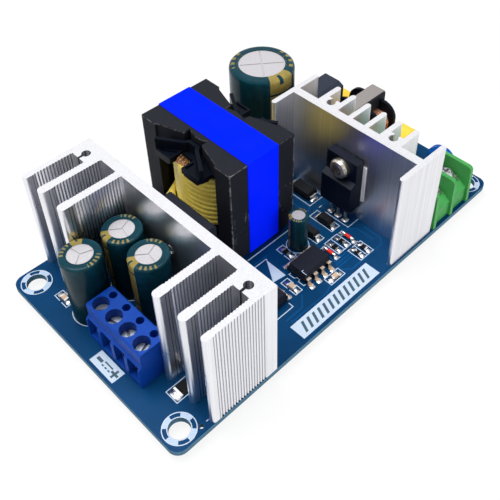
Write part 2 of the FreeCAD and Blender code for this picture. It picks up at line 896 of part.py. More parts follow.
def input_terminal():
    """Two pole barrier terminal: housing, contact plates with pins and clamp screws."""
    x0, y0 = at_x(barrier_x), at_y(barrier_y)
    z0 = board_z1
    pieces = [barrier_plate(x0 + i * barrier_pitch, y0, z0) for i in range(barrier_poles + 1)]
    y1 = y0 + barrier_depth
    front = y0 + barrier_block_setback
    floor_y = y0 + barrier_floor_y
    wall_y = y1 - barrier_back_t
    x1 = x0 + barrier_poles * barrier_pitch + barrier_t
    block_side = [(front, z0), (y1, z0), (y1, z0 + barrier_h), (wall_y, z0 + barrier_h),
                  (wall_y, z0 + barrier_floor_z), (floor_y + barrier_floor_slope, z0 + barrier_floor_z),
                  (front, z0 + barrier_block_z)]
    pieces.append(prism_x(block_side, x0 + barrier_t / 2, x1 - barrier_t / 2))
    housing = joined(pieces)
    screws, contacts = [], []
    for i in range(barrier_poles):
        x = x0 + barrier_t / 2 + (i + 0.5) * barrier_pitch
        y = y0 + barrier_screw_y
        floor_z = z0 + barrier_floor_z
        plate = centred_block(x, y + contact_back, contact_w, contact_l, floor_z, floor_z + contact_t)
        pin_y = y + contact_l / 2 - contact_back - contact_pin_in
        pin = flat_lead(x, pin_y, barrier_pin_w, contact_t, floor_z)
        bore = rod(barrier_screw_d + 2 * barrier_bore_clear, x, y,
                   floor_z - barrier_screw_reach - barrier_bore_clear, floor_z + contact_t + 1)
        housing = housing.cut(bore).cut(pin)
        contacts.append(joined([plate, pin]).cut(bore))
        screw = pan_screw(barrier_screw_head_d, barrier_screw_head_h, barrier_screw_d,
                          contact_t + barrier_screw_reach, contact_w - barrier_washer_in)
        screws.append(placed(screw, x, y, floor_z + contact_t))
    save("input_terminal_housing", [housing])
    save("input_terminal_contacts", contacts)
    save("input_terminal_screws", screws)


def power_device(name, face_x, way, y, w, t, tab_t, z_low, h, tab_h, hole_down,
                 lead_w, lead_t, lead_out, lead_pitch, shank_past, pad_past_w, pad_past_h):
    """Moulded power device, its insulating pad, leads and screw, on a heat sink's face."""
    z0 = board_z1 + z_low
    z1 = z0 + h
    back = face_x + way * pad_t
    front = back + way * t
    tab_front = back + way * tab_t
    step_z = z1 - tab_h
    lean = device_bevel if tab_t < t else 0.0
    side = [(back, z0), (front, z0), (front, step_z - lean), (tab_front, step_z + lean),
            (tab_front, z1), (back, z1)]
    if tab_t >= t:
        side = [(back, z0), (front, z0), (front, z1 - device_bevel), (front - way * device_bevel, z1),
                (back, z1)]
    body = prism_y(side, y - w / 2, y + w / 2)
    hole_z = z1 - hole_down
    axis = V(way, 0, 0)
    hole = Part.makeCylinder(device_screw_d / 2 + device_fit, t + 2, V(back - way, y, hole_z), axis)
    body = body.cut(hole)
    pad = block(min(face_x, back), max(face_x, back), y - w / 2 - pad_past_w, y + w / 2 + pad_past_w,
                z0 - pad_past_h, z1 + pad_past_h).cut(hole)
    leads = []
    lead_x = back + way * lead_out
    for i in (-1, 0, 1):
        leads.append(flat_lead(lead_x, y + i * lead_pitch, lead_t, lead_w, z0 + lead_bite))
    for one in leads:
        body = body.cut(one)
    screw = pan_screw(device_head_d, device_head_h, device_screw_d - 2 * device_fit,
                      abs(tab_front - face_x) + shank_past)
    screw = placed(screw, tab_front, y, hole_z, V(0, 1, 0), way * 90)
    save(name + "_body", [body])
    save(name + "_pad", [pad])
    save(name + "_leads", leads)
    save(name + "_screw", [screw])


def bridge_rectifier():
    """Flat moulded bridge standing on its four leads."""
    x0, y0 = at_x(bridge_x), at_y(bridge_y)
    z0 = board_z1 + bridge_lift
    z1 = z0 + bridge_h
    x1, y1 = x0 + bridge_w, y0 + bridge_t
    points = [(y0, z0), (y1, z0), (y1, z1), (y0 + bridge_bevel_w, z1), (y0, z1 - bridge_bevel_h)]
    body = prism_x(points, x0, x1)
    leads = []
    for i in range(4):
        x = (x0 + x1) / 2 + (i - 1.5) * bridge_lead_pitch
        leads.append(flat_lead(x, (y0 + y1) / 2, bridge_lead_w, bridge_lead_t, z0 + lead_bite))
    for one in leads:
        body = body.cut(one)
    save("bridge_rectifier_body", [body])
    save("bridge_rectifier_leads", leads)


def film_capacitor(name, x, y, along_x):
    """Boxed film capacitor and its two leads in one moulding."""
    l, w = (film_l, film_w) if along_x else (film_w, film_l)
    z0 = board_z1 + film_lift
    body = centred_block(x, y, l, w, z0, z0 + film_h)
    upper = [edge for edge in body.Edges if edge.BoundBox.ZMin > z0 + film_h - 0.01]
    body = body.makeChamfer(film_edge, upper)
    half = film_lead_pitch / 2
    dx, dy = (half, 0) if along_x else (0, half)
    leads = [lead(x + side * dx, y + side * dy, film_lead_d, z0 + lead_bite) for side in (-1, 1)]
    save(name, [joined([body] + leads)])


def choke_flange(x0, notch_w, notch_z):
    """Bobbin cheek with round shoulders and a slot for the upper limb of the core."""
    y = at_y(choke_y)
    z0 = board_z1 + choke_flange_z0
    z1 = board_z1 + choke_flange_top
    half = choke_flange_w / 2
    cheek = block(x0, x0 + choke_flange_t, y - half, y + half, z0, z1)
    shoulders = [edge for edge in cheek.Edges
                 if edge.BoundBox.XLength > choke_flange_t / 2 and edge.BoundBox.ZMin > z1 - 0.01]
    cheek = cheek.makeFillet(choke_flange_round, shoulders)
    notch = block(x0 - 1, x0 + choke_flange_t + 1, y - notch_w / 2, y + notch_w / 2, notch_z, z1 + 1)
    return cheek.cut(notch)


def choke_bobbin(x, y, axis_z, top):
    """Rectangular tube with three cheeks, walls that guide the core's ends, feet and pins."""
    half_l = choke_core_l / 2
    tube_w, tube_z = choke_tube_half(choke_core_w), choke_tube_half(choke_limb)
    slot_w = choke_core_w + 2 * choke_tube_gap
    foot_z = board_z1 + choke_flange_z0 + choke_foot_h
    pieces = [block(x - choke_reach, x + choke_reach, y - tube_w, y + tube_w,
                    axis_z - tube_z, axis_z + tube_z)]
    for x0 in (x - choke_reach, x - choke_flange_t / 2, x + choke_reach - choke_flange_t):
        pieces.append(choke_flange(x0, slot_w, top - choke_limb - choke_tube_gap))
    for hand in (-1, 1):
        pieces.append(block(x - choke_reach, x + choke_reach, y + hand * tube_w - choke_foot_w / 2,
                            y + hand * tube_w + choke_foot_w / 2, board_z1, foot_z))
        walls = sorted((y + hand * slot_w / 2, y + hand * (slot_w / 2 + choke_guard_t)))
        for side in (-1, 1):
            ends = sorted((x + side * (choke_reach - choke_flange_t), x + side * half_l))
            pieces.append(block(ends[0], ends[1], walls[0], walls[1],
                                axis_z - tube_z, board_z1 + choke_guard_top))
    bobbin = joined(pieces)
    limb = choke_limb / 2 + choke_tube_gap
    bobbin = bobbin.cut(block(x - half_l - 1, x + half_l + 1, y - slot_w / 2, y + slot_w / 2,
                              axis_z - limb, axis_z + limb))
    pins = []
    for side in (-1, 1):
        ends = sorted((x + side * (half_l - choke_yoke - choke_tube_gap), x + side * (half_l + 1)))
        bobbin = bobbin.cut(block(ends[0], ends[1], y - slot_w / 2, y + slot_w / 2, axis_z - limb, top + 1))
        for hand in (-1, 1):
            pins.append(flat_lead(x + side * (choke_reach - choke_pin_in), y + hand * tube_w,
                                  choke_pin_w, choke_pin_w, board_z1 + choke_flange_z0))
    for pin in pins:
        bobbin = bobbin.cut(pin)
    save("line_choke_bobbin", [bobbin])
    save("line_choke_pins", pins)


def choke_tube_half(core_size):
    """Half the outer size of the bobbin's tube around one size of the core."""
    return core_size / 2 + choke_tube_gap + choke_tube_wall


def choke_windings(x, y, axis_z, top):
    """Two grooved coils on the tube, between the cheeks."""
    coil_half = choke_flange_w / 2 - choke_coil_margin
    coil_top = top - choke_limb - choke_tube_gap - choke_coil_gap
    coil_bottom = board_z1 + choke_flange_z0 + choke_foot_h + choke_coil_gap
    tube_w = choke_tube_half(choke_core_w) + tube_clear
    tube_z = choke_tube_half(choke_limb) + tube_clear
    slot = block(x - choke_reach - 1, x + choke_reach + 1, y - tube_w, y + tube_w,
                 axis_z - tube_z, axis_z + tube_z)
    coils = []
    for side in (-1, 1):
        ends = sorted((x + side * (choke_flange_t / 2 + winding_clear),
                       x + side * (choke_reach - choke_flange_t - winding_clear)))
        turns = max(1, round((ends[1] - ends[0]) / choke_wire_pitch))
        step = (ends[1] - ends[0]) / turns
        rings = []
        for i in range(turns):
            x0 = ends[0] + i * step
            full = block(x0, x0 + step, y - coil_half, y + coil_half, coil_bottom, coil_top)
            lying = [edge for edge in full.Edges if edge.BoundBox.XLength > step / 2]
            full = full.makeFillet(choke_coil_round, lying)
            rims = [edge for edge in full.Edges if edge.BoundBox.XLength < 1e-6]
            rings.append(full.makeChamfer(choke_wire_depth, rims))
        coils.append(joined(rings).cut(slot))
    save("line_choke_windings", coils)


def line_choke():
    """Ring core on a sectioned bobbin with two copper windings and a spring strap."""
    x, y = at_x(choke_x), at_y(choke_y)
    half_l, half_w = choke_core_l / 2, choke_core_w / 2
    top = board_z1 + choke_top
    axis_z = board_z1 + choke_axis_z
    limb0, limb1 = axis_z - choke_limb / 2, axis_z + choke_limb / 2
    ring = block(x - half_l, x + half_l, y - half_w, y + half_w, limb0, top)
    window = block(x - half_l + choke_yoke, x + half_l - choke_yoke, y - half_w - 1, y + half_w + 1,
                   limb1, top - choke_limb)
    save("line_choke_core", [ring.cut(window)])
    choke_bobbin(x, y, axis_z, top)
    choke_windings(x, y, axis_z, top)

    strap = block(x - half_l - strap_t, x + half_l + strap_t, y - strap_w / 2, y + strap_w / 2,
                  top - strap_drop, top + strap_t)
    corners = [edge for edge in strap.Edges
               if edge.BoundBox.YLength > strap_w / 2 and edge.BoundBox.ZMin > top]
    strap = strap.makeChamfer(strap_t, corners)
    strap = strap.cut(block(x - half_l, x + half_l, y - strap_w, y + strap_w, top - strap_drop - 1, top))
    save("line_choke_strap", [strap])


def disc_part(name, x, y, d, t, pitch, along_x):
    """Dipped disc standing on edge on two leads, in one piece."""
    z_mid = board_z1 + disc_lift + d / 2
    axis = V(0, 1, 0) if along_x else V(1, 0, 0)
    disc = Part.makeCylinder(d / 2, t, V(x, y, z_mid) - axis * (t / 2), axis)
    rims = [edge for edge in disc.Edges if len(edge.Vertexes) == 1]
    disc = disc.makeChamfer(disc_round, rims)
    dx, dy = (pitch / 2, 0) if along_x else (0, pitch / 2)
    leads = [lead(x + side * dx, y + side * dy, disc_lead_d, z_mid - d / 4) for side in (-1, 1)]
    save(name, [joined([disc] + leads)])


def fuse_part():
    """Round radial fuse."""
    x, y = at_x(fuse_x), at_y(fuse_y)
    z0 = board_z1 + bung_lift
    body = rod(fuse_d, x, y, z0, z0 + fuse_h)
    top = [edge for edge in body.Edges if edge.BoundBox.ZMin > z0 + fuse_h - 0.01]
    body = body.makeChamfer(fuse_round, top)
    leads = [lead(x + side * fuse_pitch / 2, y, disc_lead_d, z0 + lead_bite) for side in (-1, 1)]
    save("fuse", [joined([body] + leads)])


def gull_body(x, y, l, w, h):
    """Moulded body whose sides lean in above and below the leads."""
    z0 = board_z1 + body_standoff
    mid = z0 + h / 2
    d = body_draft
    halves = []
    for z_a, z_b in ((mid, z0), (mid, z0 + h)):
        wide = Part.makePolygon([V(x + sx * l / 2, y + sy * w / 2, z_a)
                                 for sx, sy in ((-1, -1), (1, -1), (1, 1), (-1, 1), (-1, -1))])
        narrow = Part.makePolygon([V(x + sx * (l / 2 - d), y + sy * (w / 2 - d), z_b)
                                   for sx, sy in ((-1, -1), (1, -1), (1, 1), (-1, 1), (-1, -1))])
        halves.append(Part.makeLoft([wide, narrow], True))
    return joined(halves)


def gull_lead(reach0, reach1, h):
    """Side outline of a gull wing lead, as distance out and height."""
    z_foot = board_z1
    z_arm = board_z1 + body_standoff + h / 2 - gull_t / 2
    knee = reach1 - gull_foot
    return [(reach0, z_arm), (knee - gull_t, z_arm), (knee - gull_t, z_foot), (reach1, z_foot),
            (reach1, z_foot + gull_t), (knee, z_foot + gull_t), (knee, z_arm + gull_t),
            (reach0, z_arm + gull_t)]


def gull_package(name, x, y, l, w, h, row, span, across_y):
    """Moulded package with a row of gull wing leads on each long side."""
    body = gull_body(x, y, l if across_y else w, w if across_y else l, h)
    leads = []
    for side in (-1, 1):
        outline = [(side * r, z) for r, z in gull_lead(w / 2 - 0.5, span / 2, h)]
        for i in row:
            along = (i - (len(row) - 1) / 2) * gull_pitch
            if across_y:
                one = prism_x([(y + r, z) for r, z in outline],
                              x + along - gull_w / 2, x + along + gull_w / 2)
            else:
                one = prism_y([(x + r, z) for r, z in outline],
                              y + along - gull_w / 2, y + along + gull_w / 2)
            leads.append(one)
    for one in leads:
        body = body.cut(one)
    save(name + "_body", [body])
    save(name + "_leads", leads)


def chip(x, y, l, w, t, along_x):
    """Rectangular chip part lying on the board."""
    a, b = (l, w) if along_x else (w, l)
    return centred_block(at_x(x), at_y(y), a, b, board_z1, board_z1 + t)


def moulded_diode(x, y, l, w, t):
    """Moulded diode along Y with its bent end contacts."""
    cx, cy = at_x(x), at_y(y)
    half_w = w * diode_foot_share / 2
    arm_z = board_z1 + t * diode_arm_share
    end = l / 2 + sma_foot
    pieces = [gull_body(cx, cy, w, l, t - body_standoff)]
    for side in (-1, 1):
        foot = sorted((cy + side * (l / 2 - diode_foot_in), cy + side * end))
        wall = sorted((cy + side * (end - gull_t), cy + side * end))
        arm = sorted((cy + side * (l / 2 - diode_arm_in), cy + side * end))
        pieces.append(block(cx - half_w, cx + half_w, foot[0], foot[1], board_z1, board_z1 + body_standoff))
        pieces.append(block(cx - half_w, cx + half_w, wall[0], wall[1], board_z1, arm_z))
        pieces.append(block(cx - half_w, cx + half_w, arm[0], arm[1], arm_z - gull_t, arm_z))
    return joined(pieces)


def glass_diode(x, y):
    """Round glass diode with metal end caps, along Y, lying on the board."""
    cx, cy = at_x(x), at_y(y)
    r = melf_d / 2
    z = board_z1 + r
    inner = Part.makeCylinder(r * melf_glass_share, melf_l, V(cx, cy - melf_l / 2, z), V(0, 1, 0))
    caps = [Part.makeCylinder(r, melf_cap, V(cx, y_cap, z), V(0, 1, 0))
            for y_cap in (cy - melf_l / 2, cy + melf_l / 2 - melf_cap)]
    return joined([inner] + caps)


def circuit_board():
    """Board with round corners, mounting holes, a tooling hole and a hole for each lead."""
    half_l, half_w = board_l / 2, board_w / 2
    board = block(-half_l, half_l, -half_w, half_w, board_z0, board_z1)
    corners = [edge for edge in board.Edges if edge.BoundBox.ZLength > board_t / 2]
    board = board.makeFillet(board_corner_r, corners)
    cuts = []
    for sx in (-1, 1):
        for sy in (-1, 1):
            cuts.append((sx * (half_l - mount_inset), sy * (half_w - mount_inset), mount_hole_d))
    cuts.append((at_x(tooling_hole_x), at_y(tooling_hole_y), tooling_hole_d))
    cuts += holes
    drills = [rod(d, x, y, board_z0 - 1, board_z1 + 1) for x, y, d in cuts]
    save("circuit_board", [board.cut(Part.makeCompound(drills))])


def main():
    os.makedirs("parts", exist_ok=True)
    save("heatsink_screws", output_heatsink() + input_heatsink())
    transformer()

    can_capacitor("bulk_capacitor", at_x(bulk_x), at_y(bulk_y), bulk_d, bulk_h, bulk_window,
                  bulk_lead_pitch, bulk_lead_d, True, bulk_score)
    for i, (x, y) in enumerate(out_cap_spots):
        scores = [out_cap_score_turns[i] + 120 * arm for arm in range(3)]
        can_capacitor("output_capacitor_" + str(i + 1), at_x(x), at_y(y), out_cap_d, out_cap_h,
                      out_cap_window, out_cap_lead_pitch, out_cap_lead_d, False, scores)
    can_capacitor("small_capacitor", at_x(small_cap_x), at_y(small_cap_y), small_cap_d, small_cap_h,
                  small_cap_window, small_cap_lead_pitch, small_cap_lead_d, False, [])

    output_terminal()
    input_terminal()
    power_device("switch_transistor", at_x(in_sink_face_x), -1, at_y(in_sink_center_y), switch_w,
                 switch_t, switch_tab_t, switch_z0, switch_h, switch_tab_h, switch_hole_down,
                 switch_lead_w, switch_lead_t, switch_lead_out, device_lead_pitch,
                 in_plate_t + switch_screw_past, switch_pad_w, switch_pad_h)
    power_device("output_rectifier", at_x(out_sink_face_x), 1, at_y(rect_y), rect_w,
                 rect_t, rect_tab_t, rect_z0, rect_h, rect_tab_h, rect_hole_down,
                 rect_lead_w, rect_lead_t, rect_lead_out, rect_lead_pitch, out_plate_t,
                 rect_pad_w, rect_pad_h)
    bridge_rectifier()
    film_capacitor("film_capacitor_1", at_x(film_1_x), at_y(film_1_y), False)
    film_capacitor("film_capacitor_2", at_x(film_2_x), at_y(film_2_y), True)
    line_choke()
    disc_part("safety_capacitor", at_x(disc_x), at_y(disc_y), disc_d, disc_t, disc_pitch, False)
    disc_part("thermistor", at_x(thermistor_x), at_y(thermistor_y), thermistor_d, thermistor_t,
              thermistor_pitch, True)
    fuse_part()
    gull_package("controller", at_x(ctrl_x), at_y(ctrl_y), ctrl_l, ctrl_w, ctrl_h,
                 range(ctrl_leads_per_side), ctrl_span, True)
    gull_package("optical_coupler", at_x(coupler_x), at_y(coupler_y), coupler_l, coupler_w,
                 coupler_h, range(coupler_leads_per_side), coupler_span, False)

    resistor_spots = ((gate_resistor_1_x, gate_resistor_y), (gate_resistor_2_x, gate_resistor_y),
                      (sense_resistor_1_x, sense_resistor_y), (sense_resistor_2_x, sense_resistor_y),
                      (feed_resistor_x, feed_resistor_y))
    resistors = [chip(x, y, chip_l, chip_w, chip_t, False) for x, y in resistor_spots]
    resistors.append(chip(output_resistor_x, output_resistor_y, big_chip_l, big_chip_w, big_chip_t, True))
    save("chip_resistors", resistors)
    ceramics = [chip(ceramic_1_x, ceramic_1_y, ceramic_l, ceramic_w, ceramic_t, False),
                chip(ceramic_2_x, ceramic_2_y, ceramic_l, ceramic_w, ceramic_t, True),
                chip(ceramic_3_x, ceramic_3_y, ceramic_l, ceramic_w, ceramic_t, False)]
    save("chip_capacitors", ceramics)
    diodes = [moulded_diode(x, small_diode_y, sma_l, sma_w, sma_t)
              for x in (small_diode_1_x, small_diode_2_x)]
    diodes.append(moulded_diode(clamp_diode_x, clamp_diode_y, smc_l, smc_w, smc_t))
    save("moulded_diodes", diodes)
    save("glass_diodes", [glass_diode(glass_diode_1_x, glass_diode_1_y),
                          glass_diode(glass_diode_2_x, glass_diode_2_y)])
    circuit_board()


main()
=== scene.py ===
# %% [markdown]
# # An open frame power supply
# The object is a blue circuit board with two aluminium heat sinks, a transformer in
# blue tape, green sleeved capacitors and two screw terminals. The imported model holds
# all the solids, and this lesson dresses them: it loads the model as a fixed frame,
# builds the fine pieces that a solid model leaves out, and mixes each finish from nodes.

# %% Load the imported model
import math

import bmesh
import bpy
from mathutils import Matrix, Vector


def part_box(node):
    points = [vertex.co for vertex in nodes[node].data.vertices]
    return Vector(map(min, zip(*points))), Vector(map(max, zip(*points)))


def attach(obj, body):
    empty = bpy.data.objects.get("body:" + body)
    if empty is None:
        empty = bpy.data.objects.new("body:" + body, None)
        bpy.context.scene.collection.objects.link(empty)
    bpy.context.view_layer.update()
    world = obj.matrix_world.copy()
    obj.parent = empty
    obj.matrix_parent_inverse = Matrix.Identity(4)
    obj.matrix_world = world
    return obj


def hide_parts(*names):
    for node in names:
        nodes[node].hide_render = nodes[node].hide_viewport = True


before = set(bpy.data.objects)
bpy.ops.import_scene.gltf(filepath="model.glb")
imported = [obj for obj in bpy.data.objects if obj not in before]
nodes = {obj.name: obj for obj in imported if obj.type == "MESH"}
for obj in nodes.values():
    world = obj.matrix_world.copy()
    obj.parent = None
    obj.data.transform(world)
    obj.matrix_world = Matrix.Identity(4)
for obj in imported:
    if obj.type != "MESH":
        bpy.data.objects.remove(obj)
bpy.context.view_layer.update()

# %% [markdown]
# ## Places on the board
# A maker measures a board from one corner, in millimetres. One helper turns such a
# place into the model's metres: u runs from the output end, v from the front edge,
# and h is the height above the board's upper face.

# %% A place on the board
MM = 0.001
BOARD_L = 116.0
BOARD_W = 65.0
BOARD_TOP = 3.8
BOARD_UNDER = 2.2


def spot(u, v, h=0.0):
    return Vector(((u - BOARD_L / 2) * MM, (v - BOARD_W / 2) * MM, (h + BOARD_TOP) * MM))


print("board corner at", spot(0, 0))

# %% [markdown]
# ## The camera
# The photograph looks down over the corner between the output end and the front edge.
# Its place, direction and lens were worked out from the board's corners and the tops of
# the heat sinks. The view is cropped off centre, so the lens is shifted.

# %% Camera
camera_data = bpy.data.cameras.new("product_camera")
camera_data.sensor_width = 36.0
camera_data.lens = 53.91
camera_data.shift_x = -0.0495
camera_data.shift_y = -0.180
camera_data.clip_start = 0.01
camera_data.clip_end = 20.0
camera = bpy.data.objects.new("product_camera", camera_data)
camera.location = (-0.09607, -0.09898, 0.15323)
camera.rotation_mode = "QUATERNION"
camera.rotation_quaternion = Vector((0.52692, 0.52357, -0.66950)).to_track_quat("-Z", "Y")
bpy.context.scene.collection.objects.link(camera)
bpy.context.scene.camera = camera
bpy.context.scene.view_settings.view_transform = "Standard"
print("camera stands at", camera.location)

# %% [markdown]
# ## Shader maths in plain Python
# A finish is a small program of nodes. To keep it readable, a Field wraps the output of
# a node, so that `1 - mask * 0.5` adds the Math nodes by itself.


# %% Field
class Field:
    def __init__(self, finish, socket):
        self.finish = finish
        self.socket = socket

    def _maths(self, operation, first, second=0.0, third=0.0):
        values = {0: first, 1: second, 2: third}
        return self.finish.node("ShaderNodeMath", {"operation": operation}, values)

    def __add__(self, other):
        return self._maths("ADD", self, other)

    __radd__ = __add__

    def __sub__(self, other):
        return self._maths("SUBTRACT", self, other)

    def __rsub__(self, other):
        return self._maths("SUBTRACT", other, self)

    def __mul__(self, other):
        return self._maths("MULTIPLY", self, other)

    __rmul__ = __mul__

    def __pow__(self, other):
        return self._maths("POWER", self, other)

    def __gt__(self, other):
        return self._maths("GREATER_THAN", self, other)

    def __lt__(self, other):
        return self._maths("LESS_THAN", self, other)

    def __abs__(self):
        return self._maths("ABSOLUTE", self)

    def wrapped(self, length):
        return self._maths("WRAP", self, length, 0.0)

    def capped(self):
        return self._maths("MAXIMUM", self._maths("MINIMUM", self, 1.0), 0.0)


print("a Field adds Math nodes")

# %% [markdown]
# ## One material
# A Finish holds one material. Its one method `node` adds any other node: the settings
# are put in first, because they can change which sockets a node has.


# %% Finish
class Finish:
    def __init__(self, name, world=False):
        self.world = world
        self.material = (bpy.data.worlds if world else bpy.data.materials).new(name)
        self.material.use_nodes = True
        self.tree = self.material.node_tree
        self.tree.nodes.clear()
        self.place = self.node("ShaderNodeTexCoord", output="Object")

    def node(self, kind, settings=None, values=None, output=0):
        made = self.tree.nodes.new(kind)
        for name, value in (settings or {}).items():
            setattr(made, name, value)
        for socket, value in (values or {}).items():
            if isinstance(value, Field):
                self.tree.links.new(value.socket, made.inputs[socket])
            else:
                made.inputs[socket].default_value = value
        return Field(self, made.outputs[output])

    def axes(self):
        parts = self.node("ShaderNodeSeparateXYZ", values={0: self.place})
        outputs = parts.socket.node.outputs
        return [Field(self, outputs[i]) * 1000.0 for i in range(3)]

    def noise(self, size_mm, detail, rough=0.5, stretch=(1, 1, 1)):
        where = self.node("ShaderNodeVectorMath", {"operation": "MULTIPLY"},
                          {0: self.place, 1: tuple(1000.0 / (size_mm * s) for s in stretch)})
        return self.node("ShaderNodeTexNoise", {"noise_dimensions": "3D"},
                         {"Vector": where, "Scale": 1.0, "Detail": detail, "Roughness": rough})

    def ramp(self, value, low, high, to_low=0.0, to_high=1.0):
        return self.node("ShaderNodeMapRange", {"clamp": True},
                         {"Value": value, "From Min": low, "From Max": high,
                          "To Min": to_low, "To Max": to_high})

    def mix(self, mask, plain, other):
        return self.node("ShaderNodeMix", {"data_type": "RGBA"},
                         {0: mask, 6: self.tone(plain), 7: self.tone(other)}, output=2)

    def tone(self, color):
        if isinstance(color, Field) or len(color) == 4:
            return color
        return (*color, 1.0)

    def bump(self, height, strength, depth_mm):
        return self.node("ShaderNodeBump",
                         values={"Strength": strength, "Distance": depth_mm * MM, "Height": height})

    def shade(self, color, roughness, relief, metallic=0.0, **plain):
        values = {"Base Color": self.tone(color), "Roughness": roughness, "Metallic": metallic,
                  "Normal": relief}
        values.update({name.replace("_", " "): value for name, value in plain.items()})
        self.show(self.node("ShaderNodeBsdfPrincipled", values=values))
        return self.material

    def show(self, surface):
        kind = "ShaderNodeOutputWorld" if self.world else "ShaderNodeOutputMaterial"
        made = self.tree.nodes.new(kind)
        self.tree.links.new(surface.socket, made.inputs["Surface"])


def shaded(color, share, lift=0.0):
    return tuple(min(1.0, c * share + lift) for c in color)


print("Finish mixes one material")

# %% [markdown]
# ## Studio
# A product shot on white needs a surround that doesn't flood the part with light. So it
# is white for the camera and for glossy rays only, through Light Path. The floor does
# the same but keeps a little of its own shading, and with it a soft shadow.


# %% World and floor
SKY_STRENGTH = 0.24
FLOOR_REACH = 1.5
SHADOW_KEPT = 0.12


def white_for_camera(stage, dim, keep=0.0):
    ray = stage.node("ShaderNodeLightPath").socket.node.outputs
    seen = Field(stage, ray["Is Camera Ray"]) + Field(stage, ray["Is Transmission Ray"])
    share = (seen + Field(stage, ray["Is Glossy Ray"])).capped() * (1 - keep)
    white = stage.node("ShaderNodeEmission", values={"Color": (1, 1, 1, 1), "Strength": 1.0})
    return stage.node("ShaderNodeMixShader", values={0: share, 1: dim, 2: white})


sky = Finish("white_studio", world=True)
dim_sky = sky.node("ShaderNodeBackground",
                   values={"Color": (0.92, 0.95, 1.0, 1), "Strength": SKY_STRENGTH})
sky.show(white_for_camera(sky, dim_sky))
bpy.context.scene.world = sky.material

ground = Finish("white_floor")
paper = ground.node("ShaderNodeBsdfDiffuse", values={"Color": (0.95, 0.95, 0.95, 1)})
ground.show(white_for_camera(ground, paper, keep=SHADOW_KEPT))

floor_mesh = bpy.data.meshes.new("floor")
corners = [(x * FLOOR_REACH, y * FLOOR_REACH, 0) for x, y in ((-1, -1), (1, -1), (1, 1), (-1, 1))]
floor_mesh.from_pydata(corners, [], [(0, 1, 2, 3)])
floor_mesh.materials.append(ground.material)
floor = bpy.data.objects.new("floor", floor_mesh)
bpy.context.scene.collection.objects.link(floor)
print("floor half width:", FLOOR_REACH)

# %% [markdown]
# ## Lamps
# Soft studio lamps are square areas of light. A big one hangs above, and two weaker
# ones fill in from the front and from the camera's left.


# %% Lamps
PART_MIDDLE = Vector((0, 0, 0.01))


def soft_lamp(name, place, size, watts):
    data = bpy.data.lights.new(name, "AREA")
    data.shape = "SQUARE"
    data.size = size
    data.energy = watts
    lamp = bpy.data.objects.new(name, data)
    lamp.location = place
    lamp.rotation_mode = "QUATERNION"
    lamp.rotation_quaternion = (PART_MIDDLE - Vector(place)).to_track_quat("-Z", "Y")
    bpy.context.scene.collection.objects.link(lamp)


soft_lamp("top_softbox", (-0.06, 0.10, 0.60), 0.42, 4.1)
soft_lamp("front_softbox", (0.10, -0.52, 0.22), 0.30, 1.3)
soft_lamp("left_softbox", (-0.46, 0.22, 0.26), 0.22, 0.35)


# %% [markdown]
# ## Small builders
# Almost every fine piece here is one of a few forms: a field or line of ink, a strand,
# a mound of solder. Each builder fills a bmesh, so that one piece can hold many of
# them, and `finish_piece` turns the bmesh into an object that rides on the part.


# %% From a bmesh to a piece
SHARP_DEG = 38


def finish_piece(name, shape, finish, smooth=False):
    mesh = bpy.data.meshes.new(name)
    bmesh.ops.recalc_face_normals(shape, faces=shape.faces)
    shape.to_mesh(mesh)
    shape.free()
    mesh.materials.append(finish)
    if smooth:
        mesh.shade_smooth()
    piece = bpy.data.objects.new(name, mesh)
    bpy.context.scene.collection.objects.link(piece)
    if smooth:
        mesh.set_sharp_from_angle(angle=math.radians(SHARP_DEG))
    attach(piece, "root")
    print(name, len(mesh.polygons), "faces")
    return piece


def wrap_rows(shape, rows, closed=False):
    sides = len(rows[0])
    for one, two in zip(rows, rows[1:] + rows[:1] if closed else rows[1:]):
        for k in range(sides):
            m = (k + 1) % sides
            shape.faces.new((one[k], one[m], two[m], two[k]))
    if not closed:
        shape.faces.new(rows[0][::-1])
        shape.faces.new(rows[-1])

print("sharp edges start at", SHARP_DEG, "degrees")

# %% [markdown]
# ## Fields and lines of ink
# Printed ink has hardly any thickness, so a field is an outline raised by a few
# hundredths of a millimetre, and a line follows its points with mitred corners. Both
# start a hair below the board's face, so that no mark can float above it.

# %% Fields and lines of ink
INK_FOOT = -0.01
INK_TOP = 0.03
LONGEST_MITRE = 0.35


def slab(shape, outline, low=INK_FOOT, high=INK_TOP):
    rows = [[shape.verts.new(spot(u, v, h)) for u, v in outline] for h in (low, high)]
    wrap_rows(shape, rows)


def oblong(u0, v0, u1, v1):
    return [(u0, v0), (u1, v0), (u1, v1), (u0, v1)]


def ink_line(shape, points, width, high=INK_TOP, closed=False, low=INK_FOOT):
    spots = [Vector(p) for p in points]
    rows = []
    for i, here in enumerate(spots):
        ways = []
        if i or closed:
            ways.append((here - spots[i - 1]).normalized())
        if i + 1 < len(spots) or closed:
            ways.append((spots[(i + 1) % len(spots)] - here).normalized())
        along = sum(ways, Vector((0, 0))).normalized()
        across = Vector((-along.y, along.x))
        side = Vector((-ways[0].y, ways[0].x))
        reach = across * (width / 2 / max(LONGEST_MITRE, across.dot(side)))
        section = ((here + reach, low), (here - reach, low), (here - reach, high), (here + reach, high))
        rows.append([shape.verts.new(spot(p.x, p.y, h)) for p, h in section])
    wrap_rows(shape, rows, closed)


def arc_points(u, v, r, start, stop, steps):
    turn = [math.radians(start + (stop - start) * i / steps) for i in range(steps + 1)]
    return [(u + r * math.cos(a), v + r * math.sin(a)) for a in turn]


def ring_sector(shape, u, v, r0, r1, start, stop, high, steps):
    inner = arc_points(u, v, r0, start, stop, steps)
    outer = arc_points(u, v, r1, start, stop, steps)
    slab(shape, inner + outer[::-1], high=high)


print("ink stands", INK_TOP, "mm above the board")

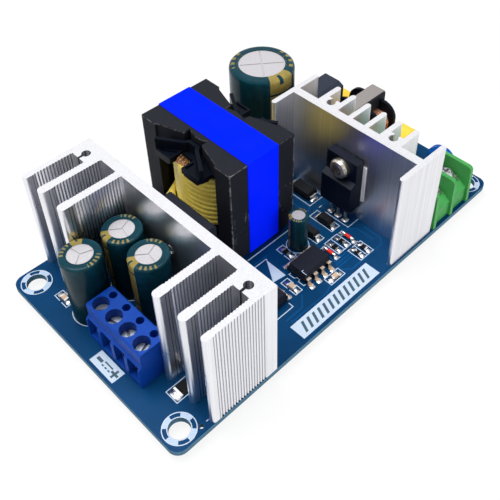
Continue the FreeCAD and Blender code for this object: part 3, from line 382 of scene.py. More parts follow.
# %% [markdown]
# ## The board's finish
# The board is woven glass under a glossy blue lacquer, and its sawn edge shows the
# pale laminate. The edge is found by height, since only edge and drilled walls lie
# between the two faces. A fine weave and slow clouds keep the blue from looking flat,
# and a comb of hair-fine tracks shows through it along the output end.


# %% Board lacquer
FACE_SKIN = 0.04
COMB_PITCH = 0.55
COMB_MIDDLE = 0.27
COMB_FADES = (-50.5, -53.0)


def board_lacquer(name, blue, edge_color):
    f = Finish(name)
    x, y, z = f.axes()
    weave = f.noise(0.35, 2.0)
    clouds = f.noise(14.0, 3.0)
    face = f.mix(f.ramp(clouds, 0.35, 0.75), blue, shaded(blue, 1.45, 0.003))
    comb = f.ramp(abs(y.wrapped(COMB_PITCH) - COMB_MIDDLE), 0.05, 0.2) * f.ramp(x, *COMB_FADES)
    face = f.mix(comb * 0.22, face, shaded(blue, 2.0, 0.006))
    face = f.mix(weave * 0.25, face, shaded(blue, 0.7))
    wall = (z > BOARD_UNDER + FACE_SKIN) * (z < BOARD_TOP - FACE_SKIN)
    layers = f.ramp(f.noise(0.5, 2.0, stretch=(6, 6, 0.3)), 0.3, 0.7)
    side = f.mix(layers, edge_color, shaded(edge_color, 0.72))
    rough = 0.26 + wall * 0.35 + weave * 0.08
    return f.shade(f.mix(wall, face, side), rough, f.bump(weave, 0.25, 0.02), Specular_IOR_Level=0.05)


LACQUER = board_lacquer("blue_board_lacquer", (0.0010, 0.036, 0.108), (0.09, 0.20, 0.29))
print("board finish:", LACQUER.name)

# %% [markdown]
# ## Extruded aluminium
# The heat sinks are cut from extruded bar. Their drawn faces have a grain that runs with
# the extrusion, so the noise is stretched along Z. The sawn top is matt and much paler,
# with fine specks, and is found by its height. The small grooves of the output heat
# sink's fins hold shade, so its finish takes a darker line at each groove's place.

# %% Extruded aluminium
SINK_TOP = 33.8
SAWN_DEPTH = 0.03
GROOVE_FIRST = 25.95
GROOVE_PITCH = 0.8
GROOVE_RUN = 14.2
GROOVE_WIDTH = 0.26
GROOVE_SHADE = (0.16, 0.17, 0.22)
DRAWN_LENGTH = 220


def extruded_aluminium(name, color, grain_dark, grooved=False):
    f = Finish(name)
    x, y, z = f.axes()
    sawn = z > SINK_TOP - SAWN_DEPTH
    grain = f.noise(0.20, 2.0, 0.5, stretch=(1, 1, DRAWN_LENGTH))
    smudge = f.noise(9.0, 2.0)
    specks = f.noise(0.28, 2.0, 0.7)
    drawn = f.mix(f.ramp(grain, 0.3, 0.75), color, grain_dark)
    drawn = f.mix(f.ramp(smudge, 0.35, 0.8, 0.0, 0.25), drawn, shaded(color, 0.8))
    if grooved:
        along = GROOVE_FIRST - BOARD_L / 2 - x
        line = (along + GROOVE_WIDTH / 2).wrapped(GROOVE_PITCH) < GROOVE_WIDTH
        groove = line * (along > -0.2) * (along < GROOVE_RUN)
        drawn = f.mix(groove * 0.75, drawn, GROOVE_SHADE)
    top = f.mix(f.ramp(specks, 0.45, 0.75), (0.64, 0.64, 0.66), (0.50, 0.50, 0.53))
    rough = (0.27 if grooved else 0.31) + f.ramp(smudge, 0.3, 0.7, 0.0, 0.05) + sawn * 0.3
    height = grain * (1 - sawn) + specks * sawn
    relief = f.bump(height, 0.06 if grooved else 0.14, 0.02)
    return f.shade(f.mix(sawn, drawn, top), rough, relief, 1 - sawn * 0.85, Specular_IOR_Level=0.2)


ALUMINIUM = extruded_aluminium("extruded_aluminium", (0.88, 0.88, 0.91), (0.68, 0.68, 0.72))
GROOVED_ALUMINIUM = extruded_aluminium("grooved_aluminium", (0.92, 0.92, 0.95),
                                       (0.78, 0.78, 0.82), grooved=True)
print("heat sink finishes:", ALUMINIUM.name, GROOVED_ALUMINIUM.name)


# %% [markdown]
# ## Small metal parts
# Cans, screws, leads and solder are pressed, plated or dipped. They share one recipe:
# a plain metal with faint smudges, whose patina says how dark a smudge gets. The
# transistor's screw is pitted, so its smudges are nearly black.


# %% Small metal parts
def plain_metal(name, color, roughness, patina, grain_mm=0.8, metallic=1.0):
    f = Finish(name)
    smudge = f.ramp(f.noise(grain_mm, 4.0, 0.6), 0.3, 0.75)
    tint = f.mix(smudge, color, shaded(color, patina))
    relief = f.bump(f.noise(0.25, 2.0), 0.25, 0.015)
    return f.shade(tint, roughness + smudge * 0.12, relief, metallic)


CAN_METAL = plain_metal("pressed_can_aluminium", (0.50, 0.485, 0.505), 0.55, 0.84, 0.5, 0.25)
ZINC = plain_metal("zinc_plated_steel", (0.64, 0.65, 0.67), 0.30, 0.62)
PITTED_STEEL = plain_metal("pitted_screw_steel", (0.74, 0.69, 0.60), 0.30, 0.10, 0.9)
LEAD_FRAME = plain_metal("lead_frame_alloy", (0.66, 0.55, 0.44), 0.32, 0.60, 0.5)
# painted shade: a darker copy of the zinc for the screws and cages down in the terminal's wells
SHADED_WELL_STEEL = plain_metal("screw_steel_in_shade", (0.34, 0.38, 0.44), 0.30, 0.62, 0.5)
STRAP_STEEL = plain_metal("spring_steel", (0.345, 0.32, 0.31), 0.33, 0.90, 0.7)
TINNED = plain_metal("tinned_copper", (0.58, 0.57, 0.55), 0.30, 0.62, 0.5)
SOLDER = plain_metal("bright_solder", (0.58, 0.58, 0.60), 0.24, 0.60, 0.5)
print("materials so far:", len(bpy.data.materials))

# %% [markdown]
# ## Ferrite
# The cores are pressed and fired ceramic: charcoal, dense and slightly grainy. The
# edges show chips and grinding, so small paler flecks sit in the dark body. The big
# core of the transformer has pale edges, found from its own box: partly chip wear,
# partly a painted highlight along its top rim.


# %% Ferrite finish
CORE_U = 53.4
CORE_V = 44.6
CORE_L = 32.5
CORE_W = 21.5
CORE_TOP = 36.1
CORNER_WEAR = 0.3
BARE_CERAMIC_AND_HIGHLIGHT = (0.24, 0.24, 0.25)


def ferrite(name, color, worn_and_highlit=False):
    f = Finish(name)
    grain = f.noise(0.22, 3.0, 0.7)
    flecks = f.ramp(f.noise(0.9, 4.0, 0.75), 0.62, 0.72)
    body = f.mix(f.ramp(grain, 0.35, 0.7), color, shaded(color, 1.8, 0.001))
    body = f.mix(flecks * 0.4, body, (0.06, 0.06, 0.07))
    if worn_and_highlit:
        x, y, z = f.axes()
        far_x = abs(x - (CORE_U - BOARD_L / 2))
        far_y = abs(y - (CORE_V - BOARD_W / 2))
        # painted highlight: the pale band along the top rim is partly chip wear and partly light on the
        # edge
        upper_rim = (z > CORE_TOP - 0.4) * (z < CORE_TOP - 0.015)
        corner = (far_x > CORE_W / 2 - CORNER_WEAR) * (far_y > CORE_L / 2 - CORNER_WEAR)
        chips_and_rim_highlight = (upper_rim + corner).capped() * f.ramp(f.noise(1.3, 4.0, 0.7), 0.42, 0.62)
        streaks = f.ramp(f.noise(0.55, 3.0, 0.7, stretch=(1, 1, 4)), 0.60, 0.70)
        scuffed = (z > 12.0) * (z < 21.0) * (far_x > 4.5) * (far_y > CORE_L / 2 - 0.1)
        body = f.mix((chips_and_rim_highlight * 0.9 + streaks * scuffed * 0.5).capped(), body, BARE_CERAMIC_AND_HIGHLIGHT)
    return f.shade(body, 0.46 + grain * 0.2, f.bump(grain, 0.5, 0.03), Specular_IOR_Level=0.08)


FERRITE = ferrite("fired_ferrite", (0.008, 0.009, 0.013))
CORE_FERRITE = ferrite("core_ferrite_chips_and_highlight", (0.008, 0.009, 0.013), worn_and_highlit=True)
print("ferrite:", FERRITE.name)

# %% [markdown]
# ## Mouldings and coatings
# Plastics differ in colour, gloss and the fineness of their skin. One recipe takes
# these and adds a slow change of colour and a fine orange peel, as a mould leaves.
# Parts that are dipped or tinned turn to bare metal below a height or at their ends.


# %% Plastic finish
def moulding(name, color, roughness, peel_mm, peel, shift=1.25, specular=0.12, bare=None,
             scuffed_above=None, **more):
    f = Finish(name)
    slow = f.ramp(f.noise(5.0, 2.0), 0.3, 0.7)
    fine = f.noise(peel_mm, 3.0, 0.6)
    tint = f.mix(slow * 0.6, color, shaded(color, shift, 0.002))
    tint = f.mix(f.ramp(fine, 0.5, 0.8, 0.0, 0.35), tint, shaded(color, 0.75))
    if scuffed_above is not None:
        scratch = f.ramp(f.noise(0.42, 4.0, 0.75, stretch=(5, 0.7, 1)), 0.53, 0.66)
        scratch = scratch * (f.axes()[2] > BOARD_TOP + scuffed_above)
        tint = f.mix(scratch * 0.5, tint, shaded(color, 0.5, 0.28))
    relief = f.bump(fine, peel, 0.03)
    if bare is None:
        return f.shade(tint, roughness + fine * 0.10, relief, Specular_IOR_Level=specular, **more)
    metal = bare(f)
    tint = f.mix(metal, tint, f.mix(slow, (0.82, 0.81, 0.78), (0.60, 0.59, 0.56)))
    rough = roughness * (1 - metal) + metal * 0.28
    return f.shade(tint, rough, relief, metal, Specular_IOR_Level=specular)


def below(height):
    def mask(f):
        return f.axes()[2] < BOARD_TOP + height
    return mask


print("moulding recipe ready")

# %% [markdown]
# ## Where a small part is bare
# Chips and diodes are tinned at both ends. Several share a node, so their finish knows
# each one's place, its half length and which way it lies, and turns to metal past
# that half length. A reach keeps each one's mask off its neighbours.


# %% Bare ends
CHIP_REACH = 5.2


def ends_of(chips, foot=0.0):
    def mask(f):
        x, y, z = f.axes()
        total = z < BOARD_TOP + foot
        for u, v, half_body, along_u in chips:
            dx = abs(x - (u - BOARD_L / 2))
            dy = abs(y - (v - BOARD_W / 2))
            past_body = (dx if along_u else dy) > half_body
            total = total + (dx + dy < CHIP_REACH) * past_body
        return total.capped()
    return mask


resistor_ends = [(69.0, 14.8, 0.65, 0), (66.2, 14.8, 0.65, 0), (71.5, 9.4, 0.65, 0),
                 (69.0, 9.4, 0.65, 0), (56.0, 22.7, 0.65, 0), (12.65, 11.2, 2.6, 1)]
ceramic_ends = [(48.75, 13.7, 0.65, 0), (58.8, 8.2, 0.65, 1), (6.6, 51.0, 0.65, 0)]
diode_ends = [(71.3, 22.7, 2.23, 0), (65.3, 22.7, 2.23, 0), (75.7, 35.0, 3.43, 0)]
glass_ends = [(71.3, 14.6, 0.95, 0), (63.8, 14.3, 0.95, 0)]
RESISTOR_GLAZE = moulding("black_resistor_glaze", (0.006, 0.006, 0.008), 0.28, 0.4, 0.30,
                          bare=ends_of(resistor_ends))
TAN_CERAMIC = moulding("tan_ceramic", (0.520, 0.370, 0.250), 0.42, 0.3, 0.30,
                       bare=ends_of(ceramic_ends))
DIODE_EPOXY = moulding("diode_black_epoxy", (0.010, 0.011, 0.014), 0.42, 0.2, 0.4,
                       bare=ends_of(diode_ends, 0.25))
RED_GLASS = moulding("red_glass", (0.700, 0.035, 0.025), 0.12, 0.6, 0.10,
                     bare=ends_of(glass_ends))
print("tinned parts:", len(resistor_ends + ceramic_ends + diode_ends + glass_ends))

# %% [markdown]
# ## The other plastics
# The transformer's tape is a clear blue film over adhesive. A little emission gives it a
# painted glow, which keeps its blue bright where it lies in shade. The blue terminal's
# top is scratched by screwdrivers.

# %% The other plastics
PHENOLIC = moulding("black_phenolic", (0.003, 0.005, 0.010), 0.24, 0.9, 0.35, specular=0.05)
EPOXY = moulding("matt_black_epoxy", (0.006, 0.008, 0.015), 0.48, 0.18, 0.45)
DEVICE_EPOXY = moulding("navy_black_epoxy", (0.002, 0.004, 0.012), 0.36, 0.22, 0.35)
BRIDGE_EPOXY = moulding("blue_grey_epoxy", (0.020, 0.026, 0.042), 0.40, 0.25, 0.35)
BLUE_NYLON = moulding("royal_blue_nylon", (0.002, 0.046, 0.310), 0.34, 0.6, 0.25, scuffed_above=12.9)
GREEN_NYLON = moulding("bright_green_nylon", (0.055, 0.300, 0.075), 0.36, 0.6, 0.25)
YELLOW_BOX = moulding("warm_yellow_box", (0.860, 0.560, 0.060), 0.34, 0.7, 0.25, bare=below(0.4))
BLUE_DIP = moulding("blue_dipped_epoxy", (0.002, 0.075, 0.360), 0.28, 1.2, 0.45,
                    specular=0.05, bare=below(0.9))
GREEN_DIP = moulding("dark_green_dip", (0.010, 0.060, 0.040), 0.35, 1.2, 0.45, bare=below(0.9))
FUSE_CASE = moulding("black_fuse_case", (0.012, 0.012, 0.014), 0.30, 0.6, 0.25, bare=below(0.4))
PAD_RUBBER = moulding("grey_silicone_pad", (0.80, 0.81, 0.84), 0.60, 0.3, 0.30)
# painted glow: the tape's emission stands in for light falling on it, though it is no lamp
BLUE_TAPE = moulding("blue_polyester_tape", (0.0, 0.012, 0.850), 0.33, 2.5, 0.20, 1.0, specular=0.02,
                     Emission_Color=(0.0, 0.012, 1.0, 1.0), Emission_Strength=0.28)
print("materials so far:", len(bpy.data.materials))

# %% [markdown]
# ## Wire enamel
# Both windings are enamelled wire. The transformer's is wrapped in yellow film, with
# scorched bare ends, and the line filter's is plain copper, so one recipe serves all
# with its own colours.


# %% Wire finish
def enamelled(name, color, dark, roughness, metallic):
    f = Finish(name)
    streak = f.ramp(f.noise(0.7, 4.0, 0.6), 0.3, 0.72)
    relief = f.bump(f.noise(0.2, 2.0), 0.3, 0.03)
    return f.shade(f.mix(streak, color, dark), roughness, relief, metallic)


YELLOW_WIRE = enamelled("yellow_wrapped_wire", (1.0, 0.82, 0.17), (0.84, 0.62, 0.08), 0.32, 0.0)
COPPER_WIRE = enamelled("enamelled_copper", (0.92, 0.50, 0.32), (0.55, 0.22, 0.12), 0.26, 0.75)
WIRE_ENDS = enamelled("scorched_copper_ends", (0.50, 0.26, 0.12), (0.12, 0.05, 0.02), 0.34, 0.6)
print("wire finishes:", YELLOW_WIRE.name, COPPER_WIRE.name, WIRE_ENDS.name)

# %% [markdown]
# ## Shrunk sleeves
# Each capacitor wears a shrunk plastic sleeve, glossy and dark green. A gold stripe
# runs down the negative side, and the stripe is found by its angle round the can. On
# the rounded shoulder stand two groups of gold dashes, one beside the stripe and one
# across from it. Low down the neighbours take the light away, so the green darkens.


# %% Sleeve finish
SLEEVE_GREEN = (0.004, 0.046, 0.066)
STRIPE_GOLD = (0.34, 0.26, 0.07)
SLEEVE_SHADE = (0.001, 0.006, 0.012)
DASHES_FROM = 112
DASHES_TO = 168
STRIPE_REPEAT = 1.1
STRIPE_GAP = 0.66
STRIPE_DASH = 0.405
SHOULDER_IN = 0.74
SHOULDER_OUT = 0.97


def sleeve_finish(name, u, v, d, top, middle_deg, half_deg):
    f = Finish(name)
    x, y, z = f.axes()
    dx = x - (u - BOARD_L / 2)
    dy = y - (v - BOARD_W / 2)
    turn = f.node("ShaderNodeMath", {"operation": "ARCTAN2"}, {0: dy, 1: dx}) * (180 / math.pi)
    away = (turn - (middle_deg - 540)).wrapped(360.0) - 180
    reach = (dx * dx + dy * dy) ** 0.5 * (2 / d)
    depth = BOARD_TOP + top - z
    along = reach * (d / 2) * 0.8 + depth
    repeat = along.wrapped(d * STRIPE_REPEAT)

    side = (reach > SHOULDER_OUT) * (depth > d * 0.06)
    gap = (abs(repeat - d * STRIPE_GAP) < 0.3) * side
    dash = (abs(away + 2) < half_deg * 0.16) * (abs(repeat - d * STRIPE_DASH) < d * 0.09)
    stripe = (abs(away) < half_deg) * (1 - (gap + dash).capped())

    beside = (away > half_deg * 1.35) * (away < half_deg * 4.2)
    across = (away < -DASHES_FROM) * (away > -DASHES_TO)
    tick = (away + 720).wrapped(half_deg * 0.72) < half_deg * 0.34
    shoulder = (reach > SHOULDER_IN) * (reach < SHOULDER_OUT)
    dashes = (beside + across) * tick * shoulder * (along.wrapped(1.5) < 0.95)

    film = f.ramp(f.noise(1.8, 2.0), 0.3, 0.7)
    green = f.mix(film, SLEEVE_GREEN, shaded(SLEEVE_GREEN, 0.7))
    gold = f.mix(film, STRIPE_GOLD, shaded(STRIPE_GOLD, 0.75))
    color = f.mix((stripe + dashes * 0.8).capped(), green, gold)
    color = f.mix(f.ramp(depth, d * 0.05, d * 0.5, 0.0, 0.45), color, SLEEVE_SHADE)
    return f.shade(color, 0.16 + film * 0.08, f.bump(f.noise(1.2, 2.0), 0.25, 0.04),
                   Specular_IOR_Level=0.11)


print("sleeve recipe ready")

# %% [markdown]
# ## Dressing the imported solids
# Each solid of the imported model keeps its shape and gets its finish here. This table
# says which finish each node wears.

# %% The finish of each node
node_finish = {
    "circuit_board": LACQUER, "output_heatsink": GROOVED_ALUMINIUM, "input_heatsink": ALUMINIUM,
    "heatsink_screws": ZINC, "transformer_core_upper": CORE_FERRITE,
    "transformer_core_lower": CORE_FERRITE, "transformer_bobbin": PHENOLIC,
    "transformer_pins": TINNED, "transformer_winding": YELLOW_WIRE,
    "transformer_tape": BLUE_TAPE, "output_terminal_housing": BLUE_NYLON,
    "output_terminal_screws": SHADED_WELL_STEEL, "output_terminal_cages": SHADED_WELL_STEEL,
    "output_terminal_pins": TINNED, "input_terminal_housing": GREEN_NYLON,
    "input_terminal_contacts": TINNED, "input_terminal_screws": ZINC,
    "switch_transistor_body": DEVICE_EPOXY, "switch_transistor_pad": PAD_RUBBER,
    "switch_transistor_leads": TINNED, "switch_transistor_screw": PITTED_STEEL,
    "output_rectifier_body": EPOXY, "output_rectifier_pad": PAD_RUBBER,
    "output_rectifier_leads": TINNED, "output_rectifier_screw": ZINC,
    "bridge_rectifier_body": BRIDGE_EPOXY, "bridge_rectifier_leads": TINNED,
    "film_capacitor_1": YELLOW_BOX, "film_capacitor_2": YELLOW_BOX, "line_choke_core": FERRITE,
    "line_choke_bobbin": PHENOLIC, "line_choke_pins": TINNED,
    "line_choke_windings": COPPER_WIRE, "line_choke_strap": STRAP_STEEL,
    "safety_capacitor": BLUE_DIP, "thermistor": GREEN_DIP, "fuse": FUSE_CASE,
    "controller_body": EPOXY, "controller_leads": LEAD_FRAME, "optical_coupler_body": EPOXY,
    "optical_coupler_leads": LEAD_FRAME, "chip_resistors": RESISTOR_GLAZE,
    "chip_capacitors": TAN_CERAMIC, "moulded_diodes": DIODE_EPOXY, "glass_diodes": RED_GLASS,
}
print("nodes in the table:", len(node_finish))

# %% [markdown]
# ## Dressing the capacitors
# Each sleeve has its own finish, because the stripe needs the can's own middle. A can
# is given by its place, diameter and height, and by its stripe's angle and half width
# in degrees. The last loop puts every finish into its node's slots.

# %% Capacitor finishes
capacitors = {
    "bulk_capacitor": (80.0, 55.85, 18.2, 31.9, -96, 24),
    "output_capacitor_1": (9.95, 43.4, 10.0, 20.4, 68, 20),
    "output_capacitor_2": (21.3, 43.0, 10.0, 20.4, 168, 21),
    "output_capacitor_3": (20.9, 32.4, 10.0, 20.4, 169, 21),
    "small_capacitor": (60.1, 22.5, 5.2, 11.4, 150, 22),
}
for can, measures in capacitors.items():
    node_finish[can + "_can"] = CAN_METAL
    node_finish[can + "_leads"] = TINNED
    node_finish[can + "_sleeve"] = sleeve_finish(can + "_green_sleeve", *measures)

for name, finish in node_finish.items():
    mesh = nodes[name].data
    mesh.materials.clear()
    mesh.materials.append(finish)
print("dressed", len(node_finish), "of", len(nodes), "left", sorted(set(nodes) - set(node_finish)))

# %% [markdown]
# ## The transformer's winding
# The solid winding is a grooved ring. The real one is laid from thick insulated strands:
# level turns go round behind, and at the front they climb to the left, pile up into a
# steep bundle and leave through the slot between the bobbin's wings. Each strand is a
# tube along its own path round the post, given by an angle from the front, a radius and
# a height. A curve with a bevel would do it too, but here the tube's sides stay few.

# %% A strand round the post
STRAND_SIDES = 10
STRAND_R = 0.77
TURN_STEP = 1.55
LOWEST_TURN = 8.95


def round_post(degrees, radius, height):
    a = math.radians(degrees)
    return spot(CORE_U - radius * math.cos(a), CORE_V + radius * math.sin(a), height)


def strand(shape, path, thick=STRAND_R, closed=False):
    rows = []
    count = len(path)
    post = spot(CORE_U, CORE_V)
    for i, here in enumerate(path):
        before = path[i - 1] if i or closed else here
        after = path[(i + 1) % count] if i + 1 < count or closed else here
        along = (after - before).normalized()
        outward = Vector((here.x - post.x, here.y - post.y, 0.0))
        up = outward.cross(along).normalized()
        out = along.cross(up)
        row = []
        for k in range(STRAND_SIDES):
            turn = 2 * math.pi * k / STRAND_SIDES
            way = out * math.cos(turn) + up * math.sin(turn)
            row.append(shape.verts.new(here + way * thick * MM))
        rows.append(row)
    wrap_rows(shape, rows, closed)


def eased(value, low, high):
    share = min(1.0, max(0.0, (value - low) / (high - low)))
    return share * share * (3 - 2 * share)


print("strand thickness", 2 * STRAND_R, "mm")

# %% [markdown]
# ## The inner layer
# Plain rings lie close to the post and hide the gaps between the outer strands. They
# keep nearer to the post at the front, where the outer strands cross over them.

# %% Inner rings
INNER_TURNS = 11
INNER_R = 11.0
REAR_SWELL = 1.1
HIGHEST_RING = 25.4
winding = bmesh.new()
for k in range(INNER_TURNS):
    height = min(LOWEST_TURN + k * TURN_STEP, HIGHEST_RING)
    ring = []
    for angle in range(-180, 180, 5):
        radius = INNER_R + REAR_SWELL * eased(abs(angle), 60, 105)
        ring.append(round_post(angle, radius, height))
    strand(winding, ring, closed=True)
print("inner rings:", INNER_TURNS)

# %% [markdown]
# ## The climbing strands
# Each outer strand starts level at the right, and rises ever faster towards the slot.
# The lowest ones stay down for longer, climb more steeply and end farthest left, so
# `low` says how low a strand starts and bends its path.

# %% Climbing strands
CLIMBERS = 10
CLIMB_FROM = -112
CLIMB_STEPS = 40
CLIMB_R = 12.15
SLOT_HEIGHT = 26.3
HIGHEST_START = 24.9
BUNDLE_FROM = -5
BUNDLE_SPREAD = 15.5
EARLY_SHARE = 0.35
LEVEL_UNTIL = -45
for k in range(1, CLIMBERS + 1):
    start = min(LOWEST_TURN + k * TURN_STEP, HIGHEST_START)
    low = (CLIMBERS - k) / (CLIMBERS - 1)
    last = BUNDLE_FROM + BUNDLE_SPREAD * low ** 0.5
    early = EARLY_SHARE * (1 - 0.3 * low)
    path = []
    for step in range(CLIMB_STEPS + 1):
        angle = CLIMB_FROM + (last - CLIMB_FROM) * step / CLIMB_STEPS
        s = max(0.0, (angle - LEVEL_UNTIL) / (last - LEVEL_UNTIL))
        climb = early * s ** (1.2 + 1.2 * low) + (1 - early) * s ** (4 + 20 * low * low)
        radius = CLIMB_R - 1.2 * eased(angle, -10, 12) * low
        path.append(round_post(angle, radius, start + (SLOT_HEIGHT - start) * climb))
    path.append(round_post(last, 11.3, SLOT_HEIGHT))
    path.append(round_post(last, 10.3, SLOT_HEIGHT - 0.2))
    strand(winding, path)
print("climbing strands:", CLIMBERS)

# %% [markdown]
# ## The lowest strands and the bare ends
# Three strands bulge out at the lower left, where the bundle is wound on. In the slot
# the film is stripped, and six thin copper ends show.

# %% Lowest strands and bare ends
BULGES = 3
for k in range(BULGES):
    path = []
    for angle in range(-20, 105, 5):
        swell = eased(angle, -20, 12) * (1 - eased(angle, 25, 70))
        path.append(round_post(angle, 11.3 + (3.6 - 1.0 * k) * swell, LOWEST_TURN + 0.05 + k * 1.15))
    strand(winding, path)

ENDS = 6
END_R = 0.27
copper_ends = bmesh.new()
for i in range(ENDS):
    angle = -7.5 + 2.9 * i
    rise = 0.25 * (i % 2)
    path = [round_post(angle, 12.3, 26.6), round_post(angle + 1.0, 11.4, 27.2 + rise),
            round_post(angle + 3.0, 10.4, 27.1 + rise), round_post(angle + 4.0, 9.75, 26.4)]
    strand(copper_ends, path, END_R)
finish_piece("transformer_wire_ends", copper_ends, WIRE_ENDS, smooth=True)
rope = finish_piece("transformer_strands", winding, YELLOW_WIRE, smooth=True)
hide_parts("transformer_winding")

# %% [markdown]
# ## Ink and bare metal on the board
# White ink outlines every part, rings the mounting holes and fills two labels. The
# blocks of the rings have a fine slanted hatch. A track is copper under the same
# lacquer, and shows as a lighter blue.


# %% Ink finishes
def printed_ink(name, color, chips_and_rim_highlight, hatched=False):
    f = Finish(name)
    speckle = f.ramp(f.noise(0.18, 3.0, 0.7), 0.55, 0.75)
    slow = f.ramp(f.noise(3.0, 2.0), 0.3, 0.7)
    tint = f.mix(speckle * 0.55, f.mix(slow * 0.4, color, shaded(color, 0.88)), chips_and_rim_highlight)
    if hatched:
        x, y, z = f.axes()
        tint = f.mix(((x + y).wrapped(0.5) < 0.14) * 0.6, tint, chips_and_rim_highlight)
    return f.shade(tint, 0.5, f.bump(speckle, 0.3, 0.01))


WHITE_INK = printed_ink("white_board_ink", (0.50, 0.60, 0.72), (0.26, 0.38, 0.55))
HATCHED_INK = printed_ink("hatched_board_ink", (0.47, 0.58, 0.74), (0.20, 0.32, 0.52), hatched=True)
TEAL_INK = printed_ink("dark_label_ink", (0.010, 0.055, 0.085), (0.03, 0.10, 0.15))
TRACK = board_lacquer("lacquered_copper_track", (0.002, 0.055, 0.170), (0.045, 0.125, 0.195))
print("ink finishes:", WHITE_INK.name, HATCHED_INK.name, TEAL_INK.name)

# %% [markdown]
# ## Mounting rings
# Round each hole lies a printed ring: two thin circles with white blocks between them
# and four bare windows. Sectors of a ring build all of it.

# %% Mounting rings
HOLE_INSET = 4.5
RING_IN = 2.55
RING_OUT = 3.93
CIRCLE_W = 0.22
CIRCLE_TOP = 0.034
WINDOW_DEG = 42
FIRST_WINDOW = 67
circles = bmesh.new()
blocks = bmesh.new()
for u in (HOLE_INSET, BOARD_L - HOLE_INSET):
    for v in (HOLE_INSET, BOARD_W - HOLE_INSET):
        for start in range(0, 360, 30):
            for inside in (RING_IN, RING_OUT - CIRCLE_W):
                ring_sector(circles, u, v, inside, inside + CIRCLE_W, start, start + 30, CIRCLE_TOP, 4)
        for quarter in range(4):
            start = FIRST_WINDOW + 90 * quarter + WINDOW_DEG / 2
            ring_sector(blocks, u, v, RING_IN + 0.2, RING_OUT - 0.2, start,
                        start + 90 - WINDOW_DEG, INK_TOP, 6)
finish_piece("mounting_circles", circles, WHITE_INK)
finish_piece("mounting_blocks", blocks, HATCHED_INK)

# %% [markdown]
# ## Part outlines
# Each outline is a run of straight ink lines round a part. Chips have a box that is
# broken at the middle of its long sides, and diodes a whole one.

# %% Boxes round chips and diodes
INK_W = 0.22
outlines = bmesh.new()


def boxed(u, v, across, along, gap=0.0):
    a = across / 2
    b = along / 2
    if not gap:
        ink_line(outlines, oblong(u - a, v - b, u + a, v + b), INK_W, closed=True)
        return
    for side in (-1, 1):
        ink_line(outlines, [(u - a, v + side * gap), (u - a, v + side * b),
                            (u + a, v + side * b), (u + a, v + side * gap)], INK_W)


boxes = [(6.58, 51.1, 2.35, 5.1, 0.4), (56.0, 22.7, 2.35, 4.9, 0.35), (48.85, 13.95, 2.3, 5.2, 0.35),
         (71.45, 23.2, 3.1, 8.2), (65.3, 23.2, 2.9, 8.2), (67.7, 15.1, 4.9, 5.0),
         (70.3, 9.35, 5.0, 4.5), (75.6, 35.0, 5.4, 10.2), (58.9, 8.4, 5.2, 2.5)]
for box in boxes:
    boxed(*box)
for u, v in ((67.7, 15.1), (70.3, 9.35)):
    ink_line(outlines, [(u, v - 2.3), (u, v + 2.3)], INK_W)
print("boxes:", len(boxes))

# %% [markdown]
# ## Open lines and circles
# The controller, the transistor and the transformer have open lines that stop where a
# part stands in the way. The cans and the disc have circles, and the bulk capacitor's
# is an arc, because the board ends before it closes.

# %% Open lines and circles
for points in ([(14.0, 9.41), (7.98, 9.41), (7.98, 13.29), (14.0, 13.29)],
               [(51.9, 17.1), (51.2, 17.1), (51.2, 15.4), (51.9, 14.9), (51.9, 14.1), (51.2, 13.7),
                (51.2, 11.9), (51.9, 11.9)],
               [(74.2, 27.7), (74.2, 17.1), (78.5, 17.1)],
               [(74.2, 25.4), (74.2, 27.7), (75.4, 27.7)],
               [(44.67, 10.9), (44.67, 9.4), (38.2, 9.4)]):
    ink_line(outlines, points, INK_W)
ink_line(outlines, [(46.9, 27.8), (62.4, 27.8)], 0.3)

for u, v, r in ((9.95, 43.4, 5.15), (21.3, 43.0, 5.35), (20.9, 32.4, 5.35), (60.1, 22.5, 3.0),
                (95.6, 17.4, 4.2)):
    ink_line(outlines, arc_points(u, v, r, 0, 350, 36), INK_W, closed=True)
ink_line(outlines, arc_points(80.0, 55.85, 9.5, 118, 422, 40), INK_W)

dashes = [(10.0, 1.7, 0.3), (71.8, 1.6, 0.3)]
dashes += [(u, v + side * 2.7, 0.8) for u, v in ((71.5, 14.7), (64.0, 14.4)) for side in (-1, 1)]
for u, v, half in dashes:
    slab(outlines, oblong(u - half, v - 0.1, u + half, v + 0.1))
finish_piece("part_outlines", outlines, WHITE_INK)

# %% [markdown]
# ## Labels
# The long label by the front edge and the small one by the output terminal are white
# fields, and so is the triangle beside the controller.

# %% Label fields
fields = bmesh.new()
slab(fields, oblong(39.8, 1.05, 67.9, 5.7))
slab(fields, oblong(0.8, 23.5, 4.4, 32.3))
slab(fields, [(50.45, 24.5), (46.5, 18.1), (50.45, 17.5)])
ink_line(fields, [(46.6, 24.85), (50.6, 24.85), (50.6, 24.4)], INK_W)
finish_piece("label_fields", fields, WHITE_INK)

# %% [markdown]
# ## Marks on the labels
# The marks are dark, so each one is a second sliver that lies on the white field. The
# small label says plus and minus with the plain sign for direct current between them,
# and the long one has a plain slanted hatch.

# %% Label marks
MARK_TOP = 0.045
MARK_W = 0.62
SIGN_W = 0.36
label_marks = bmesh.new()


def stroke(points, width):
    ink_line(label_marks, points, width, MARK_TOP)


def plus(u, v, half):
    w = MARK_W / 2
    slab(label_marks, oblong(u - half, v - w, u + half, v + w), 0.0, MARK_TOP)
    slab(label_marks, oblong(u - w, v - half, u + w, v - w), 0.0, MARK_TOP)
    slab(label_marks, oblong(u - w, v + w, u + w, v + half), 0.0, MARK_TOP)


plus(2.6, 25.0, 1.15)
stroke([(2.6, 31.5), (2.6, 29.6)], 0.8)
stroke([(3.1, 26.3), (3.1, 29.2)], SIGN_W)
for i in range(3):
    stroke([(2.1, 26.3 + 1.1 * i), (2.1, 27.0 + 1.1 * i)], SIGN_W)

